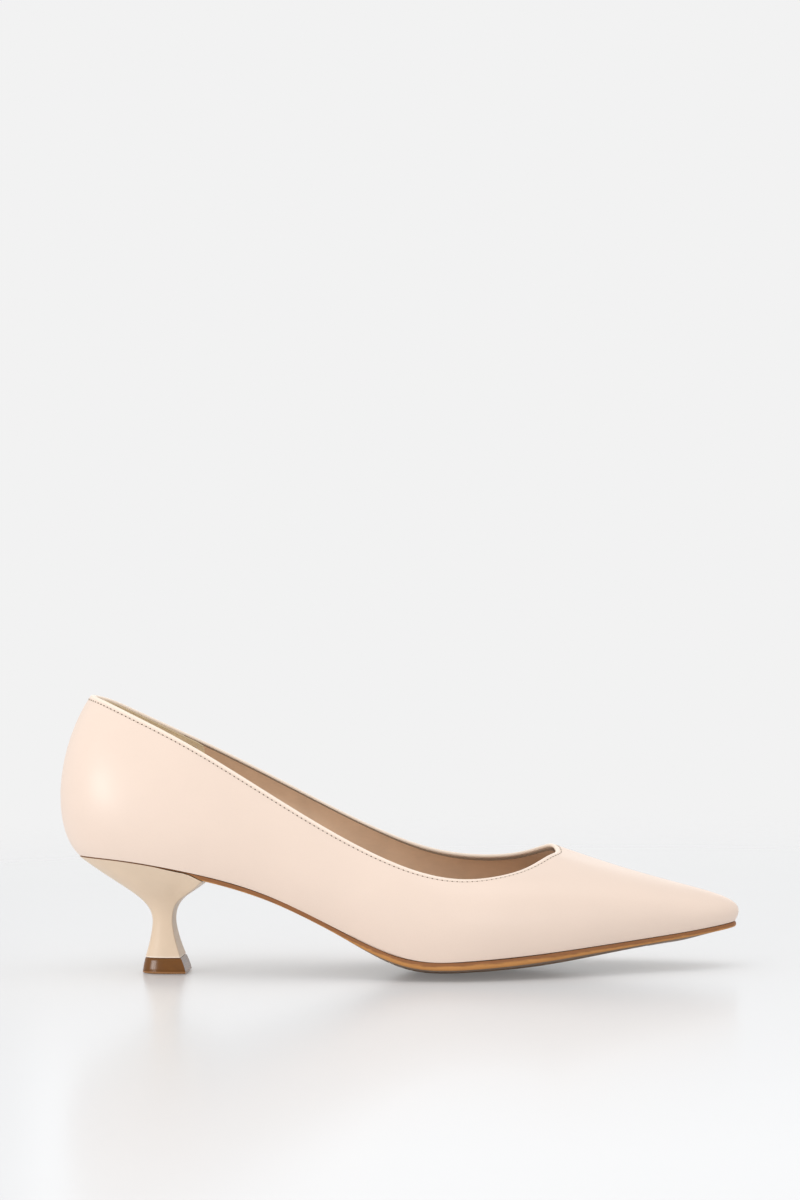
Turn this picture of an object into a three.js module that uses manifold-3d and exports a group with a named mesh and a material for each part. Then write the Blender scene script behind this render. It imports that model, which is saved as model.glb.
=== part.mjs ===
// A pointed-toe court shoe for the right foot, on a low flared heel, as the pieces a shoemaker assembles:
// a leather upper on its linings and stiffeners, lasted round an insole board with a steel shank, a moulded
// outsole, and a covered heel block that is screwed and nailed on from inside.
// Millimetres. +X points to the toe, +Y to the inner (medial) side and +Z up. The shoe stands on Z = 0.
import * as THREE from "three";
import { mergeVertices } from "three/addons/utils/BufferGeometryUtils.js";
import Module from "manifold-3d";

const wasm = await Module();
wasm.setup();

// ---------- Driving dimensions ----------
const SHOE_LENGTH = 270; // heel bulge to toe tip
const BALL_WIDTH = 75.5; // across the feather line, where the upper meets the sole, at the ball
const SEAT_HEIGHT = 47.3; // feather line above the ground at the heel
const BALL_HEIGHT = 7.6; // feather line above the ground at the ball
const TOE_HEIGHT = 17.6; // feather line above the ground at the toe tip
const BACK_HEIGHT = 64.4; // top of the back seam above the feather line

const UPPER_THICKNESS = 1.2;
const LINING_THICKNESS = 0.8;
const STIFFENER_THICKNESS = 0.9; // heel counter and toe puff
const TAPE_THICKNESS = 0.3;
const GLUE_GAP = 0.25; // left between layers that are cemented together
const FITTING_GAP = 0.3; // left between pieces that meet edge to edge or pass through each other
const MARGIN_WIDTH = 11; // how far the upper and lining turn in under the insole board
const BACK_TAPE_REACH = 0.4; // in stations either side of the back seam
const GRIP_REACH = 2.8; // the heel-grip lining ends this many stations from the back seam
const COUNTER_REACH = 4;
const PUFF_REACH = 3.2;
const THREAD_RADIUS = 0.2;
const STITCH_U = 0.955; // the stitch line, as a share of the way up to the topline

const INSOLE_THICKNESS = 1.5;
const INSOLE_INSET = 4.4; // board edge inside the feather line
const SHANK_BOARD_THICKNESS = 1;
const SHANK_BOARD_ENDS = [-117, -8];
const SHANK_THICKNESS = 0.9;
const SHANK_HALF_WIDTH = 6;
const SHANK_ENDS = [-100, -14];
const FILLER_ENDS = [-5, 106];
const FOAM_THICKNESS = 2.4;
const HEEL_PAD_ENDS = [-119, -62];
const BALL_PAD_ENDS = [-8, 60];
const PAD_INSET = 7;
const SOCK_THICKNESS = 0.7;
const SOCK_INSET = 4.6;

const SOLE_WAIST = 1.8; // outsole thickness along the waist, at the ball, at the toe and under the heel
const SOLE_BALL = 3;
const SOLE_TOE = 2;
const SOLE_SEAT = 0.8;
const SOLE_PROUD = 0.4; // sole edge outside the feather line
const SOLE_SEAT_INSET = 2.4; // sole edge inside the feather line, where the heel hides it
const GROUND = 0;
const GROUND_BITE = 0.5; // worn flat at the ball, so the sole stands on a patch and not on a line

const BREAST_X = -75; // front of the heel, under the waist
const RIM_WIDTH = 1.6; // lip of the heel round the end of the outsole
const HEEL_STEM_X = -94.2; // axis of the tube in the heel
// Sections of the heel: height, back and front of the section, and half its width.
const WAIST_RING = { z: 20.4, back: -99, front: -90.4, half: 5.3 };
const JOIN_RING = { z: 6.2, back: -102.1, front: -86.9, half: 7.3 };
const GROUND_RING = { z: 0, back: -103.3, front: -84.9, half: 8.1 };
const SHOULDER_RISE = 6.6; // the flare of the heel leaves the waist this far above it
const SHOULDER_TANGENT = 9.6; // and is upright for about this far
const FLARE = 0.62; // how far the flare runs straight in from the rim
const FLARE_SAG = 1.6; // how far it hangs below that straight line
const TIP_CHAMFER = 0.4;
const TUBE = { outer: 2.2, bore: 1.5, top: 36 };
const PIN = { radius: 1.2, top: 24, foot: 2.4 };

const SCREW = { at: [-107, 0], shank: 1.6, head: 3.4, headHeight: 0.8, length: 15 };
const NAIL = { shank: 0.9, head: 1.9, headHeight: 0.7, length: 12 };
const NAIL_SPOTS = [[-110.5, -5.5], [-110.5, 5.5], [-84, -8.6], [-84, 7.2]];
const RIVET = { shank: 1.2, head: 2.2, headHeight: 0.3 };
const RIVET_SPOTS = { rear: -76, front: -36 };

const COLUMNS = 60; // facets round the shoe
const HEEL_COLUMNS = 22; // facets round the back of the heel, from one breast corner to the other
const BREAST_COLUMNS = 5; // facets across the breast of the heel
const ROUND = 16; // facets round a pin or a hole

// ---------- Curves ----------
const lerp = (a, b, t) => a + (b - a) * t;
const clamp01 = (t) => Math.min(1, Math.max(0, t));
const smooth = (a, b, x) => {
  const t = clamp01((x - a) / (b - a));
  return t * t * (3 - 2 * t);
};

// A natural cubic spline y(x) through the given points, straight beyond its ends.
function profile(points) {
  const n = points.length - 1;
  const bend = new Array(n + 1).fill(0);
  const step = (i) => points[i + 1][0] - points[i][0];
  const slope = (i) => (points[i + 1][1] - points[i][1]) / step(i);
  for (let sweep = 0; sweep < 60; sweep++)
    for (let i = 1; i < n; i++) {
      const sides = step(i - 1) * bend[i - 1] + step(i) * bend[i + 1];
      bend[i] = (6 * (slope(i) - slope(i - 1)) - sides) / (2 * (step(i - 1) + step(i)));
    }
  return (x) => {
    let i = 0;
    while (i < n - 1 && x > points[i + 1][0]) i++;
    const h = step(i);
    const a = (points[i + 1][0] - x) / h;
    const b = (x - points[i][0]) / h;
    const end = a > 1 || b > 1 ? 0 : (h * h) / 6;
    const curve = end * ((a ** 3 - a) * bend[i] + (b ** 3 - b) * bend[i + 1]);
    const lead = a > 1 ? ((-h * bend[1]) / 6) * (x - points[0][0]) : 0;
    const tail = b > 1 ? ((h * bend[n - 1]) / 6) * (x - points[n][0]) : 0;
    return a * points[i][1] + b * points[i + 1][1] + curve + lead + tail;
  };
}

// A closed curve through the given points, smooth to its second derivative: one point per unit of v.
function loop(points) {
  const n = points.length;
  const poles = points.map((p) => p.clone());
  for (let sweep = 0; sweep < 60; sweep++)
    poles.forEach((pole, i) =>
      pole
        .copy(points[i])
        .multiplyScalar(6)
        .sub(poles[(i + 1) % n])
        .sub(poles[(i + n - 1) % n])
        .multiplyScalar(0.25),
    );
  return (v) => {
    const turn = ((v % n) + n) % n;
    const i = Math.floor(turn);
    const t = turn - i;
    const weights = [(1 - t) ** 3, 3 * t ** 3 - 6 * t * t + 4, -3 * t ** 3 + 3 * t * t + 3 * t + 1, t ** 3];
    const at = new THREE.Vector3();
    weights.forEach((w, k) => at.addScaledVector(poles[(i + k - 1 + n) % n], w / 6));
    return at;
  };
}

// ---------- The last: the form that every layer follows ----------
// The outline points are drawn for a shoe of these sizes, and are scaled to the ones above.
const DRAWN = { length: 270, width: 75.5, back: 64.4 };
const along = (x) => (x * SHOE_LENGTH) / DRAWN.length;
const across = (y) => (y * BALL_WIDTH) / DRAWN.width;
const above = (rise) => (rise * BACK_HEIGHT) / DRAWN.back;

// Height of the feather line: a level seat, a sloping shank, the tread at the ball, and the toe spring.
const seatRise = SEAT_HEIGHT - BALL_HEIGHT;
const toeRise = TOE_HEIGHT - BALL_HEIGHT;
const featherHeight = profile([
  [along(-136), BALL_HEIGHT + seatRise * 1.005],
  [along(-112), BALL_HEIGHT + seatRise * 0.99],
  [along(-92), BALL_HEIGHT + seatRise * 0.92],
  [along(-62), BALL_HEIGHT + seatRise * 0.74],
  [along(-36), BALL_HEIGHT + seatRise * 0.485],
  [along(-14), BALL_HEIGHT + seatRise * 0.205],
  [along(4), BALL_HEIGHT + seatRise * 0.035],
  [along(26), BALL_HEIGHT],
  [along(48), BALL_HEIGHT + toeRise * 0.13],
  [along(82), BALL_HEIGHT + toeRise * 0.44],
  [along(112), BALL_HEIGHT + toeRise * 0.75],
  [along(136), BALL_HEIGHT + toeRise * 1.06],
]);

// Stations round the shoe, from the back seam along the outer side to the toe and back along the inner side.
// Each gives the feather point [x, y], two handles [x, y, rise above the feather line] and the topline point.
const STATIONS = [
  { feather: [-128.4, 0], low: [-139.5, 0, 10.2], high: [-138, 0, 42], top: [-122.4, 0, 64.4] },
  { feather: [-121.5, -13.5], low: [-128, -20, 11], high: [-127, -21.5, 40], top: [-116.5, -11.5, 63] },
  { feather: [-104, -22.6], low: [-106, -29.6, 12], high: [-105.5, -29.5, 37], top: [-102, -19.6, 58] },
  { feather: [-80, -25.8], low: [-80, -31.8, 12.5], high: [-80, -32, 33], top: [-79, -24.2, 50.4] },
  { feather: [-51, -26.3], low: [-51, -31.8, 12.5], high: [-51, -32.4, 28.5], top: [-51, -27, 41.5] },
  { feather: [-21, -29.6], low: [-21, -34.6, 12], high: [-21, -34.8, 26], top: [-22, -29.4, 37.3] },
  { feather: [6, -35.4], low: [6, -39.8, 11], high: [6.5, -39.6, 25], top: [4, -31.6, 35.4] },
  { feather: [30, -37.6], low: [31, -42, 11], high: [29, -40.5, 24.5], top: [24, -31, 31.6] },
  { feather: [57, -32.2], low: [58.5, -36.6, 10], high: [52, -35.5, 25.5], top: [39.5, -26.6, 31] },
  { feather: [85, -22.2], low: [87, -26.4, 9.5], high: [76, -27, 24.5], top: [51, -18, 32.5] },
  { feather: [111, -12.2], low: [113.5, -15.8, 9.5], high: [100, -17, 18.3], top: [59, -8.8, 35.4] },
  { feather: [127, -4.6], low: [132, -8, 9.5], high: [115.5, -6, 14.2], top: [62.4, -3, 36.2] },
  { feather: [133.6, 3.5], low: [141, 3.5, 10.8], high: [121, 3, 12], top: [63.2, 1.2, 36.8] },
  { feather: [127.4, 10.8], low: [132.4, 14.2, 9.5], high: [116, 11.6, 14.2], top: [62.6, 5.4, 38] },
  { feather: [112, 17.8], low: [114.5, 21.4, 9.5], high: [101, 21.6, 18.4], top: [60, 11, 38.9] },
  { feather: [87, 26.8], low: [89, 31, 9.5], high: [78, 30.6, 25.2], top: [52.6, 19.6, 36.8] },
  { feather: [60, 34.6], low: [61.5, 39, 10], high: [55, 37.6, 27], top: [41.2, 27, 35.2] },
  { feather: [34, 37.9], low: [34.5, 42.2, 11], high: [32, 40.8, 27.2], top: [25, 30.6, 36.2] },
  { feather: [9, 32.8], low: [9, 37.8, 12], high: [8.5, 38, 28.5], top: [5, 30.6, 39.6] },
  { feather: [-19, 24.4], low: [-19, 31, 14], high: [-19.5, 33, 29], top: [-21, 28.2, 40.8] },
  { feather: [-49, 21.6], low: [-49, 29, 14], high: [-49.5, 31, 30.5], top: [-50, 25.8, 42.8] },
  { feather: [-79, 24], low: [-79, 30.4, 13], high: [-79, 31, 33], top: [-78.5, 23.4, 49.2] },
  { feather: [-104, 22], low: [-106, 29, 12], high: [-105.5, 29, 36.5], top: [-102, 19.2, 56.4] },
  { feather: [-121.5, 13.3], low: [-128, 19.8, 11], high: [-127, 21.3, 40], top: [-116.5, 11.3, 62.4] },
];
const TURN = STATIONS.length; // v runs from 0 at the back seam to TURN
const TOE = TURN / 2;

const onLast = ([x, y, rise = 0]) =>
  new THREE.Vector3(along(x), across(y), featherHeight(along(x)) + above(rise));
const [featherLoop, lowLoop, highLoop, topLoop] = ["feather", "low", "high", "top"].map((key) =>
  loop(STATIONS.map((station) => onLast(station[key]))),
);
const stationsFrom = (v, middle) => {
  const away = Math.abs(v - middle) % TURN;
  return Math.min(away, TURN - away);
};

// The outer surface of the upper: u runs from 0 at the feather line to 1 at the topline.
function outside(v, u) {
  const w = 1 - u;
  return featherLoop(v)
    .multiplyScalar(w ** 3)
    .addScaledVector(lowLoop(v), 3 * w * w * u)
    .addScaledVector(highLoop(v), 3 * w * u * u)
    .addScaledVector(topLoop(v), u ** 3);
}

const NUDGE = 1e-3;
// The outward normal of that surface.
function facing(v, u) {
  const up = Math.min(1, u + NUDGE);
  const rise = outside(v, up).sub(outside(v, up - NUDGE));
  const run = outside(v + NUDGE, u).sub(outside(v - NUDGE, u));
  return run.cross(rise).normalize();
}

// Outward direction of the feather line, seen from above.
function outward(v) {
  const run = featherLoop(v + NUDGE).sub(featherLoop(v - NUDGE));
  return new THREE.Vector3(run.y, -run.x, 0).normalize();
}

const range = (n, f) => Array.from({ length: n }, (_, i) => f(i));

// Where the feather line lies at x: its y on the outer side and on the inner side.
const TRACE = range(20 * TURN + 1, (i) => featherLoop(i / 20));
function edges(x) {
  const found = [];
  for (let i = 1; i < TRACE.length; i++) {
    const [a, b] = [TRACE[i - 1], TRACE[i]];
    if (a.x <= x !== b.x <= x) found.push(lerp(a.y, b.y, (x - a.x) / (b.x - a.x)));
  }
  return found.length === 2 ? found.sort((a, b) => a - b) : [0, 0];
}
const [BACK_X, TOE_X] = [featherLoop(0).x, featherLoop(TOE).x];

// The bottom of the last is round from side to side: a little along the waist, and most of all at the ball,
// where the crown brings the sole down to the ground. It runs out flat at the back and at the toe.
const CROWN = BALL_HEIGHT - GLUE_GAP - SOLE_BALL + GROUND_BITE;
const CROWN_AT_WAIST = 0.15;
const CROWN_AT_TOE = 0.5;
const CROWN_RUN_OUT = 25;
function crown(x) {
  const waist = lerp(CROWN_AT_WAIST, 1, smooth(along(-45), along(10), x));
  const toe = lerp(1, CROWN_AT_TOE, smooth(along(50), along(110), x));
  const ends = smooth(BACK_X, BACK_X + CROWN_RUN_OUT, x) * smooth(TOE_X, TOE_X - CROWN_RUN_OUT, x);
  return CROWN * waist * toe * ends;
}
function bottomHeight(x, y) {
  const [outer, inner] = edges(x);
  const half = (inner - outer) / 2;
  const share = half > 0 ? clamp01(Math.abs(y - (inner + outer) / 2) / half) : 1;
  return featherHeight(x) - crown(x) * (1 - share ** 2);
}
const onBottom = (x, y, height) => new THREE.Vector3(x, y, bottomHeight(x, y) + height);

// The middle of the bottom, opposite each v: the margins turn in towards it.
const SPINE_ENDS = [along(-108), along(104)];
function spine(v) {
  const middle = featherLoop(v).add(featherLoop(TURN - v)).multiplyScalar(0.5);
  const share = (middle.x - BACK_X) / (TOE_X - BACK_X);
  return new THREE.Vector3(lerp(...SPINE_ENDS, share), middle.y, 0);
}
// A point on the bottom, a distance in from the feather line, and a height above the bottom.
function inwards(v, distance, height) {
  const edge = featherLoop(v);
  const middle = spine(v).setZ(edge.z);
  const at = edge.clone().lerp(middle, Math.min(1, distance / edge.distanceTo(middle)));
  if (distance > 0) return onBottom(at.x, at.y, height);
  return edge.addScaledVector(outward(v), -distance).add(lift(height));
}
const lift = (height) => new THREE.Vector3(0, 0, height);

// ---------- Solids ----------
// Joins rings of points into a closed skin. An endless skin joins its last ring to its first. Each four-sided
// facet is split along its shorter diagonal, so that two layers that face each other are split alike.
function skin(rings, endless = false) {
  const count = rings[0].length;
  const points = rings.flat();
  const position = points.flatMap((p) => [p.x, p.y, p.z]);
  const index = [];
  const bands = endless ? rings.length : rings.length - 1;
  for (let i = 0; i < bands; i++)
    for (let j = 0; j < count; j++) {
      const k = (j + 1) % count;
      const [low, high] = [i * count, ((i + 1) % rings.length) * count];
      const [a, b, c, d] = [low + j, low + k, high + k, high + j];
      const straight = points[a].distanceTo(points[c]) <= points[b].distanceTo(points[d]);
      index.push(...(straight ? [a, b, c, a, c, d] : [a, b, d, b, c, d]));
    }
  const raw = new THREE.BufferGeometry();
  raw.setAttribute("position", new THREE.Float32BufferAttribute(position, 3));
  raw.setIndex(index);
  const welded = mergeVertices(raw, 1e-4);
  const corners = welded.index.array;
  const kept = [];
  for (let i = 0; i < corners.length; i += 3) {
    const [a, b, c] = corners.slice(i, i + 3);
    if (a !== b && b !== c && c !== a) kept.push(a, b, c);
  }
  welded.setIndex(sixVolumes(welded, kept) < 0 ? kept.reverse() : kept);
  return welded;
}
function sixVolumes(geometry, corners) {
  const position = geometry.getAttribute("position");
  const [a, b, c] = [new THREE.Vector3(), new THREE.Vector3(), new THREE.Vector3()];
  let sum = 0;
  for (let i = 0; i < corners.length; i += 3) {
    a.fromBufferAttribute(position, corners[i]);
    b.fromBufferAttribute(position, corners[i + 1]);
    c.fromBufferAttribute(position, corners[i + 2]);
    sum += a.dot(b.cross(c));
  }
  return sum;
}

function solid(geometry) {
  const bare = new THREE.BufferGeometry();
  bare.setAttribute("position", geometry.getAttribute("position"));
  bare.setIndex(geometry.index);
  const merged = mergeVertices(bare, 1e-4);
  const vertProperties = merged.getAttribute("position").array;
  const triVerts = new Uint32Array(merged.index.array);
  return new wasm.Manifold(new wasm.Mesh({ numProp: 3, vertProperties, triVerts }));
}
function cut(geometry, tools) {
  const mesh = tools.reduce((left, tool) => left.subtract(solid(tool)), solid(geometry)).getMesh();
  const left = new THREE.BufferGeometry();
  left.setAttribute("position", new THREE.BufferAttribute(mesh.vertProperties, 3));
  left.setIndex(new THREE.BufferAttribute(mesh.triVerts, 1));
  return left;
}

const PITCH = TURN / COLUMNS;
const columns = range(COLUMNS, (j) => j * PITCH);

// A layer all round the shoe. A row gives a point for each v: outer rows go up, then inner rows come down.
const band = (rows) => skin(rows.map((row) => columns.map(row)), true);

// A layer over part of the way round. It keeps its neighbours' columns, so their facets lie parallel, and
// it stops a little short of the last of them at each end.
function strip(first, last, rows, short = 0) {
  const [from, to] = [first, last].map((v) => Math.round(v / PITCH));
  const stops = range(to - from + 1, (j) => (from + j) * PITCH);
  stops[0] += short;
  stops[stops.length - 1] -= short;
  const rings = stops.map((v) => rows.map((row) => row(v)));
  return skin([pressed(rings[0]), ...rings, pressed(rings.at(-1))]);
}
// A ring pressed flat, each point meeting the one across from it.
const pressed = (ring) => ring.map((p, i) => p.clone().lerp(ring[ring.length - 1 - i], 0.5));

// Plates on the bottom are laid from their outline (share 0) in to their middle line (share 1).
const SHARES = [0, 0.25, 0.55, 0.8, 1];
const plate = (row, low, high) =>
  skin([...SHARES.map((s) => row(s, high)).reverse(), ...SHARES.map((s) => row(s, low))]);

// A plate that follows the feather line, a distance inside it, and goes no lower than its floor.
function sheet(inset, low, high, floor = -Infinity) {
  const point = (v, share, height) => {
    const edge = inwards(v, inset(v), 0);
    const middle = spine(v);
    const [x, y] = [lerp(edge.x, middle.x, share), lerp(edge.y, middle.y, share)];
    const at = share ? onBottom(x, y, height(x)) : edge.add(lift(height(x)));
    return at.setZ(Math.max(floor, at.z));
  };
  return plate((share, height) => columns.map((v) => point(v, share, height)), low, high);
}

// A plate with rounded ends between two places along the shoe, and between two sides.
function pad([rear, front], sides, low, high, count = 32) {
  const point = (j, share, height) => {
    const turn = (2 * Math.PI * j) / count;
    const x = lerp(rear, front, (1 - Math.cos(turn)) / 2);
    const [outer, inner] = sides(x);
    const reach = ((inner - outer) / 2) * Math.abs(Math.sin(turn)) ** 0.5 * (1 - share);
    return onBottom(x, (inner + outer) / 2 - Math.sign(Math.sin(turn)) * reach, height);
  };
  return plate((share, height) => range(count, (j) => point(j, share, height)), low, high);
}
const within = (margin) => (x) => {
  const [outer, inner] = edges(x);
  return [outer + margin, inner - margin];
};

// A round pin, or the hole for it, up from z = foot. Its head is at the top.
function pin({ shank, head = 0, headHeight = 0 }, foot, top, clearance = 0) {
  const outline = [
    [0, foot - clearance],
    [shank + clearance, foot - clearance],
    [shank + clearance, top - headHeight - clearance],
  ];
  const widest = Math.max(head, shank) + clearance;
  if (head) outline.push([widest, top - headHeight - clearance]);
  outline.push([widest, top + clearance], [0, top + clearance]);
  const points = outline.map(([r, z]) => new THREE.Vector2(r, z));
  return new THREE.LatheGeometry(points, ROUND).rotateX(Math.PI / 2);
}

const shoe = new THREE.Group();
const made = (colour, roughness, metalness = 0) =>
  new THREE.MeshStandardMaterial({ color: colour, roughness, metalness });
function add(name, geometry, material) {
  geometry.computeVertexNormals();
  const mesh = new THREE.Mesh(geometry, material);
  mesh.name = name;
  shoe.add(mesh);
}

const LEATHER = made(0xf3ddcf, 0.45);
const LACQUER = made(0xe6cfb2, 0.35);
const LINING = made(0xb79f86, 0.8);
const GRIP = made(0xd8c49a, 0.9);
const SOCK = made(0xc9b49a, 0.75);
const BOARD = made(0xb8905c, 0.9);
const FOAM = made(0xe8e2d2, 0.95);
const STIFFENER = made(0xd9d4c8, 0.8);
const SOLE = made(0xb9834a, 0.5);
const TIP = made(0x74481c, 0.25);
const STEEL = made(0x8f9399, 0.35, 1);
const THREAD = made(0xcbb9a4, 0.7);

// ---------- The upper, and the layers inside it ----------
const WALL = [0.08, 0.22, 0.4, 0.6, 0.78, 0.91, 1];
const between = (low, high) => WALL.filter((u) => u >= low && u <= high);
const UNDER_UPPER = UPPER_THICKNESS + GLUE_GAP;
const TAPE_ROOM = TAPE_THICKNESS + GLUE_GAP;
const STIFFENER_ROOM = STIFFENER_THICKNESS + GLUE_GAP;
const COUNTER_TOP = 0.78;
const PUFF_TOP = 0.6;
const TAPE_FOOT = 0.91;

// How far in each layer starts: deeper where a tape or a stiffener lies outside it, and less so past its end.
const COUNTER_FADE = 1.2;
const TAPE_FADE = 0.8;
const covered = (v, middle, reach, fade) => 1 - smooth(reach, reach + fade, stationsFrom(v, middle));
const backTapeShare = (v) => covered(v, 0, BACK_TAPE_REACH, TAPE_FADE);
const counterDepth = (v) => UNDER_UPPER + TAPE_ROOM * backTapeShare(v);
function liningDepth(v, u) {
  const heel = u > COUNTER_TOP ? 0 : covered(v, 0, COUNTER_REACH, COUNTER_FADE);
  const toe = u > PUFF_TOP ? 0 : covered(v, TOE, PUFF_REACH, COUNTER_FADE);
  const topline = u < TAPE_FOOT ? 0 : 1;
  return UNDER_UPPER + STIFFENER_ROOM * (heel + toe) + TAPE_ROOM * Math.max(topline, backTapeShare(v));
}

// Rows of a lasted layer: on the wall at a depth, at the feather corner, and flat under the insole board.
const wall = (u, depth) => (v) => outside(v, u).addScaledVector(facing(v, u), -depth(v, u));
const corner = (depth) => (v) => featherLoop(v).addScaledVector(outward(v), -depth).add(lift(depth));
const margin = (distance, height) => (v) => inwards(v, distance, height);
const MARGIN_RISE = 3.2; // where the margin leaves the corner
function lasted(depth, thickness) {
  const inner = depth + thickness;
  const deep = (v, u) => (depth === UNDER_UPPER ? liningDepth(v, u) : depth);
  return [
    margin(MARGIN_WIDTH, depth),
    margin(MARGIN_RISE, depth),
    corner(depth),
    ...WALL.map((u) => wall(u, deep)),
    ...WALL.map((u) => wall(u, (v) => deep(v, u) + thickness)).reverse(),
    corner(inner),
    margin(MARGIN_RISE, inner),
    margin(MARGIN_WIDTH, inner),
  ];
}
function layerRows(shares, depth, thickness) {
  const outer = shares.map((u) => wall(u, depth));
  const inner = shares.map((u) => wall(u, (v) => depth(v, u) + thickness)).reverse();
  return [...outer, ...inner];
}
const layer = (middle, reach, shares, depth, thickness) =>
  strip(middle - reach, middle + reach, layerRows(shares, depth, thickness));

// The upper is one piece: its two ends meet in the back seam.
const seam = new THREE.BoxGeometry(4 * MARGIN_WIDTH, FITTING_GAP, 4 * BACK_HEIGHT);
seam.translate(BACK_X, 0, SEAT_HEIGHT);
add("upper_leather", cut(band(lasted(0, UPPER_THICKNESS)), [seam]), LEATHER);

// Tapes and stiffeners lie between the upper and the lining.
const tapeDepth = () => UNDER_UPPER;
const counterRows = between(WALL[0], COUNTER_TOP);
const puffRows = between(WALL[0], PUFF_TOP);
const tapeRows = between(TAPE_FOOT, 1);
add("topline_tape", band(layerRows(tapeRows, tapeDepth, TAPE_THICKNESS)), STIFFENER);
add("back_seam_tape", layer(0, BACK_TAPE_REACH, counterRows, tapeDepth, TAPE_THICKNESS), STIFFENER);
add("heel_counter", layer(0, COUNTER_REACH, counterRows, counterDepth, STIFFENER_THICKNESS), STIFFENER);
add("toe_puff", layer(TOE, PUFF_REACH, puffRows, tapeDepth, STIFFENER_THICKNESS), STIFFENER);

const halfGap = FITTING_GAP / 2 / outside(GRIP_REACH, 0.5).distanceTo(outside(GRIP_REACH + 1, 0.5));
const liningRows = lasted(UNDER_UPPER, LINING_THICKNESS);
add("vamp_lining", strip(GRIP_REACH, TURN - GRIP_REACH, liningRows, halfGap), LINING);
add("heel_grip_lining", strip(-GRIP_REACH, GRIP_REACH, liningRows, halfGap), GRIP);

// One row of stitches under the folded edge.
const threadRow = (u, out) => wall(u, () => -out);
const threadPitch = THREAD_RADIUS / BACK_HEIGHT;
add("topline_thread", band([
  threadRow(STITCH_U - threadPitch, THREAD_RADIUS + GLUE_GAP),
  threadRow(STITCH_U, GLUE_GAP),
  threadRow(STITCH_U + threadPitch, THREAD_RADIUS + GLUE_GAP),
  threadRow(STITCH_U, 2 * THREAD_RADIUS + GLUE_GAP),
]), THREAD);

// ---------- The bottom: insole, shank, filler, pads and sock ----------
const INSOLE_LOW = UNDER_UPPER + LINING_THICKNESS + GLUE_GAP;
const INSOLE_TOP = INSOLE_LOW + INSOLE_THICKNESS;
const PAD_LOW = INSOLE_TOP + 2 * GLUE_GAP;
const SHANK_LOW = GLUE_GAP / 2;
const SHANK_BOARD_LOW = SHANK_LOW + SHANK_THICKNESS + GLUE_GAP;
const SHANK_BOARD_TOP = SHANK_BOARD_LOW + SHANK_BOARD_THICKNESS;
const hollow = within(MARGIN_WIDTH + 2 * FITTING_GAP);
const scaled = (ends) => ends.map(along);

function shankSides(x) {
  const [outer, inner] = edges(x);
  const middle = (outer + inner) / 2;
  return [middle - SHANK_HALF_WIDTH, middle + SHANK_HALF_WIDTH];
}

const spots = [SCREW.at, ...NAIL_SPOTS].map(([x, y]) => [along(x), across(y)]);
const heads = [SCREW, ...NAIL_SPOTS.map(() => NAIL)];
const HEAD_SUNK = 0.2; // below the face of the insole board
function fastener(i, clearance) {
  const [x, y] = spots[i];
  const top = bottomHeight(x, y) + INSOLE_TOP - HEAD_SUNK;
  const open = clearance ? 2 : 0; // a hole goes on up, out of the board
  const size = { ...heads[i], headHeight: heads[i].headHeight + open };
  return pin(size, top - heads[i].length, top + open, clearance).translate(x, y, 0);
}
const fastenerHoles = spots.map((_, i) => fastener(i, FITTING_GAP));

// A rivet stands square to the shank, through it and the shank board.
function rivetAt(x, clearance) {
  const middle = (edges(x)[0] + edges(x)[1]) / 2;
  const slope = Math.atan2(bottomHeight(x + 1, middle) - bottomHeight(x - 1, middle), 2);
  const top = SHANK_BOARD_TOP * Math.cos(slope);
  return pin(RIVET, SHANK_LOW, top, clearance).rotateY(-slope).translate(x, middle, bottomHeight(x, middle));
}
const rivetHoles = Object.values(RIVET_SPOTS).map((x) => rivetAt(along(x), FITTING_GAP));

const insole = sheet(() => INSOLE_INSET, () => INSOLE_LOW, () => INSOLE_TOP);
add("insole_board", cut(insole, fastenerHoles), BOARD);
const shankBoard = pad(scaled(SHANK_BOARD_ENDS), hollow, SHANK_BOARD_LOW, SHANK_BOARD_TOP);
add("shank_board", cut(shankBoard, [...fastenerHoles, ...rivetHoles]), BOARD);
const shank = pad(scaled(SHANK_ENDS), shankSides, SHANK_LOW, SHANK_LOW + SHANK_THICKNESS);
add("steel_shank", cut(shank, rivetHoles), STEEL);
Object.entries(RIVET_SPOTS).forEach(([place, x]) => add(`shank_rivet_${place}`, rivetAt(along(x), 0), STEEL));
add("forefoot_filler", pad(scaled(FILLER_ENDS), hollow, 2 * GLUE_GAP, SHANK_BOARD_TOP), FOAM);
add("heel_pad", pad(scaled(HEEL_PAD_ENDS), within(PAD_INSET), PAD_LOW, PAD_LOW + FOAM_THICKNESS), FOAM);
add("ball_pad", pad(scaled(BALL_PAD_ENDS), within(PAD_INSET), PAD_LOW, PAD_LOW + FOAM_THICKNESS), FOAM);

const PAD_RAMP = [5, 17]; // the sock comes down to the board between these distances from the end of a pad
const over = ([rear, front], x) =>
  (1 - smooth(...PAD_RAMP, rear - x)) * (1 - smooth(...PAD_RAMP, x - front));
function sockHeight(x) {
  const lifted = over(scaled(HEEL_PAD_ENDS), x) + over(scaled(BALL_PAD_ENDS), x);
  return PAD_LOW + (FOAM_THICKNESS + 2 * GLUE_GAP) * lifted;
}
add("sock_lining", sheet(() => SOCK_INSET, sockHeight, (x) => sockHeight(x) + SOCK_THICKNESS), SOCK);

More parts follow.
